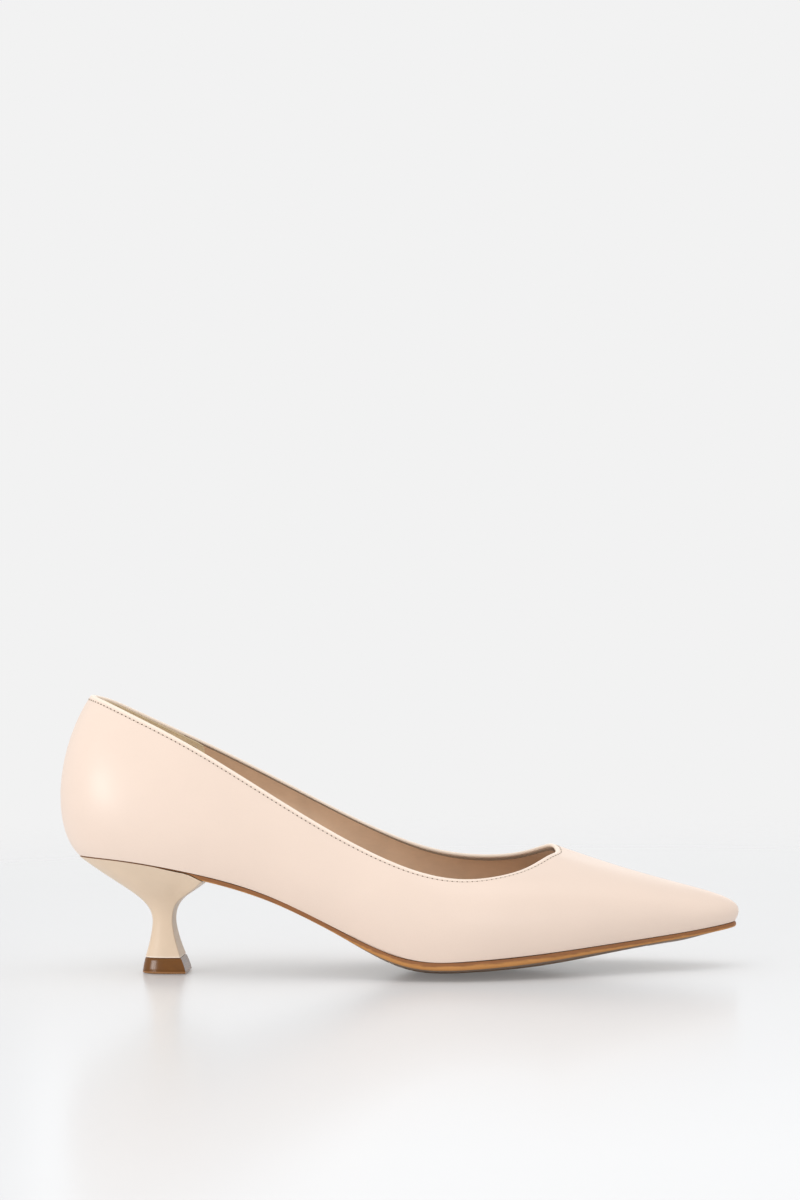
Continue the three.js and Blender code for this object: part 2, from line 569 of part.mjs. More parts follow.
// ---------- The outsole ----------
// Going forward, the lip of the heel falls away, and then the sole comes out from behind it to its full edge.
const LIP_FALL = [BREAST_X - 20, BREAST_X - 12].map(along);
const SOLE_RISE = [BREAST_X - 7, BREAST_X + 1].map(along);
const emerged = (x) => smooth(...SOLE_RISE, x);
function soleThickness(x) {
  const ahead = lerp(SOLE_WAIST, SOLE_BALL, smooth(along(-35), along(15), x));
  const front = lerp(ahead, SOLE_TOE, smooth(along(45), along(110), x));
  return lerp(SOLE_SEAT, front, emerged(x));
}
const soleInset = (v) => lerp(SOLE_SEAT_INSET, -SOLE_PROUD, emerged(featherLoop(v).x));
const soleUnderside = (x) => -GLUE_GAP - soleThickness(x);
const outsole = sheet(soleInset, soleUnderside, () => -GLUE_GAP, GROUND);
add("outsole", cut(outsole, fastenerHoles), SOLE);

// ---------- The heel ----------
// Sections are D-shaped, with the flat breast in front. s runs from -1 at the outer breast corner, round the
// back, to 1 at the inner corner; past 1 it crosses the breast.
const SQUARENESS = 0.72;
const breastSide = (s, inner, outer) => (s < 0 ? outer : lerp(inner, outer, (s - 1) / 2));
const heelStops = [
  ...range(HEEL_COLUMNS + 1, (i) => -1 + (2 * i) / HEEL_COLUMNS),
  ...range(BREAST_COLUMNS - 1, (i) => 1 + (2 * (i + 1)) / BREAST_COLUMNS),
];
function section({ z, back, front, half }, s) {
  if (Math.abs(s) >= 1) return new THREE.Vector3(along(front), across(breastSide(s, half, -half)), z);
  const turn = (Math.PI / 2) * Math.abs(s);
  const x = front + (back - front) * Math.cos(turn) ** SQUARENESS;
  const y = Math.sign(s) * half * Math.sin(turn) ** SQUARENESS;
  return new THREE.Vector3(along(x), across(y), z);
}
// The stations where the breast crosses the feather line.
function crossing(from, to) {
  const middle = (from + to) / 2;
  if (Math.abs(to - from) < 1e-6) return middle;
  return featherLoop(middle).x < along(BREAST_X) ? crossing(middle, to) : crossing(from, middle);
}
const [OUTER_CORNER, INNER_CORNER] = [crossing(0, TOE), crossing(0, -TOE)];
const LIP_HEIGHT = -GLUE_GAP - 0.05; // the lip stands just under the upper
const SEAT_GAP = FITTING_GAP + 0.1;
const SEAT_MIDDLE_X = -100;
const seatHeight = (x) => soleUnderside(x) - SEAT_GAP;
const lipHeight = (x) => lerp(LIP_HEIGHT, seatHeight(x), smooth(...LIP_FALL, x));
function rim(s, inset, height) {
  if (s > 1) {
    const x = along(BREAST_X) - inset;
    const [outer, inner] = edges(x);
    return onBottom(x, breastSide(s, inner - inset, outer + inset), height(along(BREAST_X)));
  }
  const v = s < 0 ? -s * OUTER_CORNER : s * INNER_CORNER;
  const edge = featherLoop(v).addScaledVector(outward(v), -inset);
  return onBottom(edge.x, edge.y, height(edge.x));
}
// The flare from the rim, at t = 0, to the waist, at t = 1.
function flare(s, t) {
  const top = rim(s, 0, lipHeight);
  const waist = section(WAIST_RING, s);
  const shoulder = waist.clone().add(lift(SHOULDER_RISE));
  const out = top.clone().lerp(shoulder, FLARE).sub(lift(FLARE_SAG));
  const down = waist.clone().add(lift(SHOULDER_TANGENT));
  return new THREE.CubicBezierCurve3(top, out, down, waist).getPoint(t);
}
// A section between two others: the stem opens like a bell.
function stem(low, high, share) {
  const bell = share ** 1.5;
  return {
    z: lerp(low.z, high.z, share),
    back: lerp(low.back, high.back, bell),
    front: lerp(low.front, high.front, bell),
    half: lerp(low.half, high.half, bell),
  };
}
const heelRing = (f) => heelStops.map(f);
const stemCentre = (z) => new THREE.Vector3(along(HEEL_STEM_X), 0, z);

function heelBlock() {
  const seat = (s, share) => {
    const edge = rim(s, RIM_WIDTH + FITTING_GAP, seatHeight);
    const x = lerp(edge.x, along(SEAT_MIDDLE_X), share);
    return onBottom(x, edge.y * (1 - share), seatHeight(x));
  };
  return skin([
    ...[1, 0.6, 0.3, 0].map((share) => heelRing((s) => seat(s, share))),
    heelRing((s) => rim(s, RIM_WIDTH, lipHeight)),
    ...[0, 0.15, 0.3, 0.45, 0.6, 0.75, 0.88].map((t) => heelRing((s) => flare(s, t))),
    ...[0, 0.35, 0.7, 1].map((share) => heelRing((s) => section(stem(WAIST_RING, JOIN_RING, share), s))),
    heelRing(() => stemCentre(JOIN_RING.z)),
  ]);
}

function stemPin(shank, foot, top, clearance = 0) {
  return pin({ shank }, foot, top, clearance).translate(along(HEEL_STEM_X), 0, 0);
}
const tubeHole = stemPin(TUBE.outer, JOIN_RING.z - 1, TUBE.top, FITTING_GAP);
const tubeBore = stemPin(TUBE.bore, JOIN_RING.z - 1, TUBE.top + 1);
add("heel_block", cut(heelBlock(), [tubeHole, ...fastenerHoles]), LACQUER);
add("heel_tube", cut(stemPin(TUBE.outer, JOIN_RING.z, TUBE.top), [tubeBore]), STEEL);
add("heel_screw", fastener(0, 0), STEEL);
NAIL_SPOTS.forEach((_, i) => add(`heel_nail_${i + 1}`, fastener(i + 1, 0), STEEL));

function heelTip() {
  const top = stem(GROUND_RING, JOIN_RING, (JOIN_RING.z - FITTING_GAP) / JOIN_RING.z);
  const { z: ground, back, front, half } = GROUND_RING;
  const side = { ...GROUND_RING, z: ground + TIP_CHAMFER };
  const foot = { z: ground, back: back + TIP_CHAMFER, front: front - TIP_CHAMFER, half: half - TIP_CHAMFER };
  return skin([
    heelRing(() => stemCentre(top.z)),
    ...[top, side, foot].map((size) => heelRing((s) => section(size, s))),
    heelRing(() => stemCentre(ground)),
  ]);
}
const tipPin = (clearance) => stemPin(PIN.radius, PIN.foot, PIN.top, clearance);
add("heel_tip", cut(heelTip(), [tipPin(FITTING_GAP)]), TIP);
add("heel_tip_pin", tipPin(0), STEEL);

// The origin is on the ground, under the middle of the shoe.
const box = new THREE.Box3().setFromObject(shoe);
const centre = box.getCenter(new THREE.Vector3());
shoe.position.set(-centre.x, -centre.y, -box.min.z);

export default shoe;
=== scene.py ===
"""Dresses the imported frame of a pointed-toe court shoe: leather, stitches, linings, sock, sole,
heel and heel tip.

Every piece follows the last that the frame's solids were made on. The last is in millimetres:
+X points to the toe, +Y to the inner side of the foot and +Z up."""

import bpy
import numpy as np
from mathutils import Matrix, Vector


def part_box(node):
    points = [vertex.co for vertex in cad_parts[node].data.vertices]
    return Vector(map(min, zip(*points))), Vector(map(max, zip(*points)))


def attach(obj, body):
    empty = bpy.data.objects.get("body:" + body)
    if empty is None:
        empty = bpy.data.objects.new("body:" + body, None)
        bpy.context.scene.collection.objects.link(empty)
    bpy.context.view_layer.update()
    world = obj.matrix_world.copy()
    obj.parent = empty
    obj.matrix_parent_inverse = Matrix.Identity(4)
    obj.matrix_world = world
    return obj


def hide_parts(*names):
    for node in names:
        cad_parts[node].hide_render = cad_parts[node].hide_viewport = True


bl_info = {
    "name": "Court Shoe",
    "version": (1, 0, 0),
    "blender": (4, 5, 0),
    "location": "3D View > Sidebar > Court Shoe",
    "description": "Makes the visible pieces of a pointed-toe court shoe round its frame",
    "category": "Add Mesh",
}

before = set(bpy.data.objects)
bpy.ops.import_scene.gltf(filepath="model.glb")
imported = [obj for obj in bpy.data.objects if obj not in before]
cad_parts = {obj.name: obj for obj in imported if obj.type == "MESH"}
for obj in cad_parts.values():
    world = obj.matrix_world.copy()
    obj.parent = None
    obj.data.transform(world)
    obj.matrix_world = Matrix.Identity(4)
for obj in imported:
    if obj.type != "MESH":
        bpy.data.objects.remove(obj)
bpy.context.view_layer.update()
MM = 0.001


# ---------- Curves ----------
def lerp(a, b, t):
    return a + (b - a) * t


def smooth(a, b, x):
    t = np.clip((x - a) / (b - a), 0, 1)
    return t * t * (3 - 2 * t)


def length_of(vectors):
    return np.linalg.norm(vectors, axis=-1, keepdims=True)


def bezier(start, first_handle, second_handle, end, t):
    w = 1 - t
    return w**3 * start + 3 * w * w * t * first_handle + 3 * w * t * t * second_handle + t**3 * end


def crossing(low, high, is_before, halvings=40):
    """Where is_before turns false between low and high, for one place or for many at a time."""
    for _ in range(halvings):
        middle = (low + high) / 2
        before = is_before(middle)
        low, high = np.where(before, middle, low), np.where(before, high, middle)
    return low


def profile(points):
    """A natural cubic spline y(x) through points, straight beyond its ends."""
    x, y = np.array(points, float).T
    step = np.diff(x)
    matrix, right = np.eye(len(x)), np.zeros(len(x))
    for i in range(1, len(x) - 1):
        matrix[i, i - 1 : i + 2] = step[i - 1], 2 * (step[i - 1] + step[i]), step[i]
        right[i] = 6 * ((y[i + 1] - y[i]) / step[i] - (y[i] - y[i - 1]) / step[i - 1])
    bend = np.linalg.solve(matrix, right)

    def at(q):
        i = np.clip(np.searchsorted(x, q, side="right") - 1, 0, len(step) - 1)
        a, b = (x[i + 1] - q) / step[i], (q - x[i]) / step[i]
        curve = step[i] ** 2 / 6 * ((a**3 - a) * bend[i] + (b**3 - b) * bend[i + 1])
        curve = np.where(a > 1, -step[0] / 6 * bend[1] * (q - x[0]), curve)
        curve = np.where(b > 1, step[-1] / 6 * bend[-2] * (q - x[-1]), curve)
        return a * y[i] + b * y[i + 1] + curve

    return at


def loop(points):
    """A closed curve through points, smooth to its second derivative: one point per unit of v."""
    count = len(points)
    here = np.arange(count)
    matrix = np.zeros((count, count))
    matrix[here, here] = 4 / 6
    matrix[here, (here + 1) % count] = matrix[here, here - 1] = 1 / 6
    poles = np.linalg.solve(matrix, points)

    def at(v):
        turn = np.mod(v, count)
        i = np.floor(turn).astype(int)
        t = (turn - i)[..., None]
        weights = (1 - t) ** 3, 3 * t**3 - 6 * t * t + 4, -3 * t**3 + 3 * t * t + 3 * t + 1, t**3
        return sum(w * poles[(i + k - 1) % count] for k, w in enumerate(weights)) / 6

    return at


# ---------- The last ----------
# Heights of the feather line, where the upper meets the sole.
SEAT_HEIGHT, BALL_HEIGHT, TOE_HEIGHT = 47.3, 7.6, 17.6
SEAT_RISE = SEAT_HEIGHT - BALL_HEIGHT
TOE_RISE = TOE_HEIGHT - BALL_HEIGHT
SHOE_BACK_X, SHOE_TOE_X = -136, 136
# Places along the shoe, and the share of the seat's or the toe's rise that is reached there.
SEAT_SLOPE = ((SHOE_BACK_X, 1.005), (-112, 0.99), (-92, 0.92), (-62, 0.74), (-36, 0.485),
              (-14, 0.205), (4, 0.035), (26, 0))
TOE_SLOPE = ((48, 0.13), (82, 0.44), (112, 0.75), (SHOE_TOE_X, 1.06))
feather_height = profile([(x, BALL_HEIGHT + rise * share)
                          for rise, slope in ((SEAT_RISE, SEAT_SLOPE), (TOE_RISE, TOE_SLOPE))
                          for x, share in slope])

# Stations round the shoe, from the back seam along the outer side to the toe and back along the
# inner side: the feather point (x, y), two handles (x, y, rise above the feather line) and the
# topline point.
STATIONS = [
    ((-128.4, 0), (-139.5, 0, 10.2), (-138, 0, 42), (-122.4, 0, 64.4)),
    ((-121.5, -13.5), (-128, -20, 11), (-127, -21.5, 40), (-116.5, -11.5, 63)),
    ((-104, -22.6), (-106, -29.6, 12), (-105.5, -29.5, 37), (-102, -19.6, 58)),
    ((-80, -25.8), (-80, -31.8, 12.5), (-80, -32, 33), (-79, -24.2, 50.4)),
    ((-51, -26.3), (-51, -31.8, 12.5), (-51, -32.4, 28.5), (-51, -27, 41.5)),
    ((-21, -29.6), (-21, -34.6, 12), (-21, -34.8, 26), (-22, -29.4, 37.3)),
    ((6, -35.4), (6, -39.8, 11), (6.5, -39.6, 25), (4, -31.6, 35.4)),
    ((30, -37.6), (31, -42, 11), (29, -40.5, 24.5), (24, -31, 31.6)),
    ((57, -32.2), (58.5, -36.6, 10), (52, -35.5, 25.5), (39.5, -26.6, 31)),
    ((85, -22.2), (87, -26.4, 9.5), (76, -27, 24.5), (51, -18, 32.5)),
    ((111, -12.2), (113.5, -15.8, 9.5), (100, -17, 18.3), (59, -8.8, 35.4)),
    ((127, -4.6), (132, -8, 9.5), (115.5, -6, 14.2), (62.4, -3, 36.2)),
    ((133.6, 3.5), (141, 3.5, 10.8), (121, 3, 12), (63.2, 1.2, 36.8)),
    ((127.4, 10.8), (132.4, 14.2, 9.5), (116, 11.6, 14.2), (62.6, 5.4, 38)),
    ((112, 17.8), (114.5, 21.4, 9.5), (101, 21.6, 18.4), (60, 11, 38.9)),
    ((87, 26.8), (89, 31, 9.5), (78, 30.6, 25.2), (52.6, 19.6, 36.8)),
    ((60, 34.6), (61.5, 39, 10), (55, 37.6, 27), (41.2, 27, 35.2)),
    ((34, 37.9), (34.5, 42.2, 11), (32, 40.8, 27.2), (25, 30.6, 36.2)),
    ((9, 32.8), (9, 37.8, 12), (8.5, 38, 28.5), (5, 30.6, 39.6)),
    ((-19, 24.4), (-19, 31, 14), (-19.5, 33, 29), (-21, 28.2, 40.8)),
    ((-49, 21.6), (-49, 29, 14), (-49.5, 31, 30.5), (-50, 25.8, 42.8)),
    ((-79, 24), (-79, 30.4, 13), (-79, 31, 33), (-78.5, 23.4, 49.2)),
    ((-104, 22), (-106, 29, 12), (-105.5, 29, 36.5), (-102, 19.2, 56.4)),
    ((-121.5, 13.3), (-128, 19.8, 11), (-127, 21.3, 40), (-116.5, 11.3, 62.4)),
]
TURN = len(STATIONS)  # v runs from 0 at the back seam to TURN
TOE = TURN / 2
NUDGE = 1e-3  # a small step of u or v, for directions


def on_last(points):
    x, y, rise = np.array([(*p, 0)[:3] for p in points], float).T
    return np.stack([x, y, feather_height(x) + rise], -1)


feather, low_handle, high_handle, topline = (loop(on_last(points)) for points in zip(*STATIONS))


def outside(v, u):
    """The outer surface of the upper: u runs from 0 at the feather line to 1 at the topline."""
    v, u = np.broadcast_arrays(v, np.asarray(u, float))
    return bezier(feather(v), low_handle(v), high_handle(v), topline(v), u[..., None])


def facing(v, u):
    """The outward normal of that surface."""
    up = np.minimum(1, u + NUDGE)
    rise = outside(v, up) - outside(v, up - NUDGE)
    run = outside(v + NUDGE, u) - outside(v - NUDGE, u)
    normal = np.cross(run, rise)
    return normal / length_of(normal)


def outward(v):
    """The outward direction of the feather line, seen from above."""
    run = feather(v + NUDGE) - feather(v - NUDGE)
    out = np.stack([run[..., 1], -run[..., 0], 0 * run[..., 0]], -1)
    return out / length_of(out)


def wall_height(v):
    """Millimetres of wall for each unit of u, at the topline."""
    return length_of(outside(v, 1) - outside(v, 1 - NUDGE))[..., 0] / NUDGE


def from_back(v):
    """Stations from the back seam, either way round."""
    away = np.mod(v, TURN)
    return np.minimum(away, TURN - away)


OUTER_TRACE = feather(np.linspace(0, TOE, 400))
INNER_TRACE = feather(np.linspace(TURN, TOE, 400))
BACK_X, TOE_X = OUTER_TRACE[0, 0], OUTER_TRACE[-1, 0]


def edges(x):
    """Where the feather line lies at x: its y on the outer side and on the inner side."""
    return np.interp(x, *OUTER_TRACE[:, :2].T), np.interp(x, *INNER_TRACE[:, :2].T)


CROWN = 4.85  # how far the bottom of the last hangs below the feather line at the ball
CROWN_AT_WAIST, CROWN_AT_TOE = 0.15, 0.5  # as shares of that
CROWN_WAIST_TO_BALL, CROWN_BALL_TO_TOE = (-45, 10), (50, 110)  # x where one passes to the next
CROWN_RUN_OUT = 25  # how long it takes to grow from either end
SPINE_BACK_X, SPINE_TOE_X = -108, 104


def bottom_height(x, y):
    outer, inner = edges(x)
    half = np.maximum((inner - outer) / 2, 1e-6)
    share = np.clip(np.abs(y - (inner + outer) / 2) / half, 0, 1)
    waist = lerp(CROWN_AT_WAIST, 1, smooth(*CROWN_WAIST_TO_BALL, x))
    toe = lerp(1, CROWN_AT_TOE, smooth(*CROWN_BALL_TO_TOE, x))
    ends = smooth(BACK_X, BACK_X + CROWN_RUN_OUT, x) * smooth(TOE_X, TOE_X - CROWN_RUN_OUT, x)
    return feather_height(x) - CROWN * waist * toe * ends * (1 - share**2)


def on_bottom(x, y, height):
    return np.stack([x, y, bottom_height(x, y) + height], -1)


def spine(v):
    """The middle of the bottom, opposite v."""
    middle = (feather(v) + feather(TURN - v)) / 2
    share = (middle[..., 0] - BACK_X) / (TOE_X - BACK_X)
    return lerp(SPINE_BACK_X, SPINE_TOE_X, share), middle[..., 1]


def inwards(v, distance, height):
    """A point on the bottom, a distance in from the feather line."""
    edge = feather(v)
    middle = np.stack([*spine(v), edge[..., 2]], -1)
    distance = np.broadcast_to(distance, np.shape(v))[..., None]
    height_of_each = np.broadcast_to(height, np.shape(v))[..., None]
    share = np.minimum(1, np.maximum(distance, 0) / length_of(middle - edge))
    at = edge + (middle - edge) * share
    inside = on_bottom(at[..., 0], at[..., 1], height)
    beyond = edge - outward(v) * distance + (0, 0, 1) * height_of_each
    return np.where(distance > 0, inside, beyond)


# ---------- Rows of a lasted piece: each gives a point for every v ----------
def pushed_in(v, u, depth):
    depth = depth(v, u) if callable(depth) else depth
    return outside(v, u) - facing(v, u) * np.broadcast_to(depth, np.shape(v))[..., None]


def below_top(drop, depth):
    fall = drop if callable(drop) else lambda v: drop
    return lambda v: pushed_in(v, 1 - fall(v) / wall_height(v), depth)


def on_wall(share, depth, clear):
    """A share of the way up to a line that runs a clear distance below the topline."""
    return lambda v: pushed_in(v, share * (1 - clear / wall_height(v)), depth)


def at_corner(depth):
    return lambda v: feather(v) - outward(v) * depth + (0, 0, depth)


def under_board(distance, depth):
    return lambda v: inwards(v, distance, depth)


# ---------- Building meshes ----------
TIP_ON_LAST_X = -94.1
TIP_IN_FRAME = (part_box("heel_tip")[0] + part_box("heel_tip")[1]) / 2 / MM
LAST_TO_FRAME = np.array([TIP_IN_FRAME.x - TIP_ON_LAST_X, TIP_IN_FRAME.y, 0])
TWIST = 1.6  # turns of the thread in a millimetre


def select_only(piece):
    bpy.ops.object.select_all(action="DESELECT")
    piece.select_set(True)
    bpy.context.view_layer.objects.active = piece


def ride(piece, slot, *nodes):
    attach(piece, "root")
    if nodes:
        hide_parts(*nodes)


def closed_up(piece, merge=2e-3, angle=40):
    """Welds the doubles, turns the faces outwards and smooths all but the sharp edges."""
    select_only(piece)
    bpy.ops.object.mode_set(mode="EDIT")
    bpy.ops.mesh.select_all(action="SELECT")
    bpy.ops.mesh.remove_doubles(threshold=merge * MM)
    bpy.ops.mesh.normals_make_consistent(inside=False)
    bpy.ops.object.mode_set(mode="OBJECT")
    bpy.ops.object.shade_smooth_by_angle(angle=np.radians(angle))
    return piece


def draped(name, points, marks=None, finishes=(), finish_of_row=None):
    """Adds a grid and lays its vertices on points, a table of rows by columns. marks are tables
    of a value at each point, for the materials."""
    rows, columns = points.shape[:2]
    bpy.ops.object.select_all(action="DESELECT")
    bpy.ops.mesh.primitive_grid_add(x_subdivisions=columns - 1, y_subdivisions=rows - 1, size=2)
    piece = bpy.context.object
    piece.name = piece.data.name = name
    at = np.empty(3 * rows * columns)
    piece.data.vertices.foreach_get("co", at)
    i = np.rint((at[0::3] + 1) / 2 * (columns - 1)).astype(int)
    j = np.rint((at[1::3] + 1) / 2 * (rows - 1)).astype(int)
    piece.data.vertices.foreach_set("co", ((points[j, i] + LAST_TO_FRAME) * MM).ravel())
    for mark, table in (marks or {}).items():
        values = np.broadcast_to(table, (rows, columns))[j, i].astype(np.float32)
        piece.data.attributes.new(mark, "FLOAT", "POINT").data.foreach_set("value", values)
    for finish in finishes:
        piece.data.materials.append(finish)
    if finish_of_row is not None:
        first = [min(j[v] for v in face.vertices) for face in piece.data.polygons]
        piece.data.polygons.foreach_set("material_index", [finish_of_row[k] for k in first])
    return closed_up(piece)


def ring_closed(table):
    return np.concatenate([table, table[:1]])


def lasted(rows, columns, ends_shut=False):
    """Points and marks of rows that close on themselves: up the outside, over, and down the
    inside. A piece with two ends has each pressed shut."""
    points = np.array([row(columns) for row, _ in rows])
    if ends_shut:
        middle = (points + points[::-1]) / 2
        points = np.concatenate([middle[:, :1], points, middle[:, -1:]], 1)
    marks = np.array([mark for _, mark in rows])[:, None]
    return ring_closed(points), ring_closed(marks)


def round_columns(per_station=12, extra=()):
    even = np.arange(0, TURN * per_station) / per_station
    return np.append(np.unique(np.concatenate([even, np.mod(extra, TURN)])), TURN)


def scattered(name, shape, origins, axes, finish, strand=False):
    """Copies a shape's mesh to many places in one piece. Its X, Y and Z follow the axes there."""
    at = np.array([v.co for v in shape.data.vertices])
    faces = [tuple(face.vertices) for face in shape.data.polygons]
    bpy.data.objects.remove(shape)
    points = origins[:, None] + at @ axes
    copies = [tuple(v + k * len(at) for v in face) for k in range(len(origins)) for face in faces]
    mesh = bpy.data.meshes.new(name)
    mesh.from_pydata(((points + LAST_TO_FRAME) * MM).reshape(-1, 3), [], copies)
    if strand:
        turns = at[:, 2] * TWIST + np.arctan2(at[:, 1], at[:, 0]) / (2 * np.pi)
        values = np.tile(turns, len(origins)).astype(np.float32)
        mesh.attributes.new("strand", "FLOAT", "POINT").data.foreach_set("value", values)
    piece = bpy.data.objects.new(name, mesh)
    bpy.context.collection.objects.link(piece)
    mesh.materials.append(finish)
    return closed_up(piece, merge=1e-3, angle=80)


# ---------- Effects that several materials share ----------
MIX_FACTOR, MIX_LOW, MIX_HIGH, MIX_RESULT = 0, 6, 7, 2  # the sockets of a Mix node for colours
BLACK = (0, 0, 0, 1)


def node(tree, kind, inputs=None, **settings):
    made = tree.nodes.new("ShaderNode" + kind)
    for key, value in settings.items():
        setattr(made, key, value)
    for key, value in (inputs or {}).items():
        if isinstance(value, bpy.types.NodeSocket):
            tree.links.new(value, made.inputs[key])
        else:
            made.inputs[key].default_value = value
    return made


def per(size_in_mm):
    return 1 / (size_in_mm * MM)


def noise(tree, place, scale, detail, roughness=0.5):
    inputs = {"Vector": place, "Scale": scale, "Detail": detail, "Roughness": roughness}
    return node(tree, "TexNoise", inputs).outputs


def times_plus(tree, value, factor, added):
    return node(tree, "Math", {0: value, 1: factor, 2: added}, operation="MULTIPLY_ADD").outputs[0]


def ramp(tree, value, low, high, at_low=0.0, at_high=1.0, kind="LINEAR"):
    inputs = {"Value": value, "From Min": low, "From Max": high,
              "To Min": at_low, "To Max": at_high}
    return node(tree, "MapRange", inputs, interpolation_type=kind).outputs[0]


def mixed(tree, factor, low, high):
    inputs = {MIX_FACTOR: factor, MIX_LOW: low, MIX_HIGH: high}
    return node(tree, "Mix", inputs, data_type="RGBA").outputs[MIX_RESULT]


def shade_of(tree, colour, amount, factor):
    """The colour, darkened by the amount where the factor is 1."""
    return mixed(tree, factor, colour, mixed(tree, amount, colour, BLACK))


def effect(name, build, **takes):
    """A node group, made once. It takes a position and the named values, and gives what build
    returns."""
    if name in bpy.data.node_groups:
        return bpy.data.node_groups[name]
    tree = bpy.data.node_groups.new(name, "ShaderNodeTree")

    def socket(label, in_out):
        kind = "Vector" if label == "Position" else "Color" if "Colour" in label else "Float"
        return tree.interface.new_socket(name=label, in_out=in_out, socket_type="NodeSocket" + kind)

    socket("Position", "INPUT")
    for label, value in takes.items():
        taken = socket(label.replace("_", " "), "INPUT")
        if value is not None:
            taken.default_value = value
    results = build(tree, tree.nodes.new("NodeGroupInput").outputs)
    for label in results:
        socket(label, "OUTPUT")
    out = tree.nodes.new("NodeGroupOutput").inputs
    for label, result in results.items():
        tree.links.new(result, out[label])
    return tree


def leather_grain():
    def build(tree, given):
        warp = noise(tree, given["Position"], per(6), detail=2)["Color"]
        reach = (2.5 * MM,) * 3
        bent = node(tree, "VectorMath", {0: warp, 1: reach, 2: given["Position"]},
                    operation="MULTIPLY_ADD").outputs[0]
        cells = node(tree, "TexVoronoi", {"Vector": bent, "Scale": given["Cells"],
                     "Smoothness": 0.4}, feature="SMOOTH_F1").outputs["Distance"]
        creases = noise(tree, bent, given["Creases"], detail=4, roughness=0.6)[0]
        return {"Height": times_plus(tree, cells, 0.6, creases),
                "Pores": ramp(tree, cells, low=0.0, high=0.35, at_low=1.0, at_high=0.0)}

    return effect("Leather grain", build, Cells=per(0.5), Creases=per(1.6))


def tone_drift():
    def build(tree, given):
        cloud = noise(tree, given["Position"], given["Patches"], detail=3)[0]
        patch = ramp(tree, cloud, low=0.3, high=0.7)
        return {"Colour": shade_of(tree, given["Colour"], given["Amount"], patch)}

    return effect("Tone drift", build, Colour=None, Amount=0.05, Patches=per(30))


def nap():
    def build(tree, given):
        lie = {"Vector": given["Position"], "Scale": (0.35, 1, 1), "Rotation": (0.3, 0.5, 0.2)}
        fibres = noise(tree, node(tree, "Mapping", lie).outputs[0], given["Fibres"], detail=6,
                       roughness=0.75)[0]
        brushed = noise(tree, given["Position"], per(9), detail=2)[0]
        lying = ramp(tree, times_plus(tree, fibres, 0.7, brushed), low=0.55, high=1.1)
        return {"Colour": shade_of(tree, given["Colour"], given["Amount"], lying), "Height": fibres}

    return effect("Nap", build, Colour=None, Amount=0.15, Fibres=per(0.5))


def handling():
    def build(tree, given):
        smudges = noise(tree, given["Position"], per(14), detail=5)[0]
        specks = noise(tree, given["Position"], per(0.8), detail=3)[0]
        both = times_plus(tree, specks, 0.35, smudges)
        return {"Roughness": ramp(tree, both, 0.35, 1.0, given["Smoothest"], given["Roughest"])}

    return effect("Handling", build, Smoothest=0.3, Roughest=0.45)


def painted_edge():
    def build(tree, given):
        strokes = {"Vector": given["Position"], "Scale": (0.25, 0.6, 1.6)}
        brush = noise(tree, node(tree, "Mapping", strokes).outputs[0], per(2.2), detail=4,
                      roughness=0.65)[0]
        wander = times_plus(tree, brush, factor=0.5, added=-0.25)
        level = times_plus(tree, given["Level"], 1.0, wander)
        band = ramp(tree, level, low=0.42, high=0.62)
        paint = mixed(tree, band, given["Low Colour"], given["High Colour"])
        return {"Colour": shade_of(tree, paint, 0.22, brush), "Height": brush}

    return effect("Painted edge", build, Level=0.5, Low_Colour=None, High_Colour=None)


# ---------- Materials ----------
def size_of(name):
    """A size chosen in the panel, in millimetres."""
    return getattr(bpy.context.scene.court_shoe_sizes, name) / MM


def colour_of(name):
    return (*getattr(bpy.context.scene.court_shoe_colours, name), 1)


class Finish:
    """A material under way: its tree, its Principled shader and the piece's own coordinates."""

    def __init__(self, name, **plain):
        self.material = bpy.data.materials.new(name)
        self.material.use_nodes = True
        self.tree = self.material.node_tree
        self.shader = self.tree.nodes["Principled BSDF"]
        self.position = node(self.tree, "TexCoord").outputs["Object"]
        for socket, value in plain.items():
            self.shader.inputs[socket.replace("_", " ")].default_value = value

    def use(self, group, **inputs):
        """Places an effect in the material and gives its outputs."""
        named = {label.replace("_", " "): value for label, value in inputs.items()}
        settings = {"Position": self.position, **named}
        made = node(self.tree, "Group", node_tree=group)
        for label, value in settings.items():
            if isinstance(value, bpy.types.NodeSocket):
                self.tree.links.new(value, made.inputs[label])
            else:
                made.inputs[label].default_value = value
        return made.outputs

    def feed(self, socket, output):
        self.tree.links.new(output, self.shader.inputs[socket])

    def mark(self, name):
        return node(self.tree, "Attribute", attribute_name=name).outputs["Fac"]

    def marked(self, name, plain, special):
        """Plain, but special where the mesh's mark is 1."""
        return mixed(self.tree, self.mark(name), plain, special)

    def tone(self, colour, amount, patch):
        return self.use(tone_drift(), Colour=colour, Amount=amount, Patches=per(patch))["Colour"]

    def napped(self, colour, amount, fibre, depth):
        fluff = self.use(nap(), Colour=colour, Amount=amount, Fibres=per(fibre))
        self.bump(fluff["Height"], depth)
        return fluff["Colour"]

    def colour(self, output):
        self.feed("Base Color", output)

    def handled(self, smoothest, roughest):
        group = self.use(handling(), Smoothest=smoothest, Roughest=roughest)
        self.feed("Roughness", group["Roughness"])

    def bump(self, height, depth, strength=1.0):
        inputs = {"Height": height, "Distance": depth * MM, "Strength": strength}
        self.feed("Normal", node(self.tree, "Bump", inputs).outputs[0])


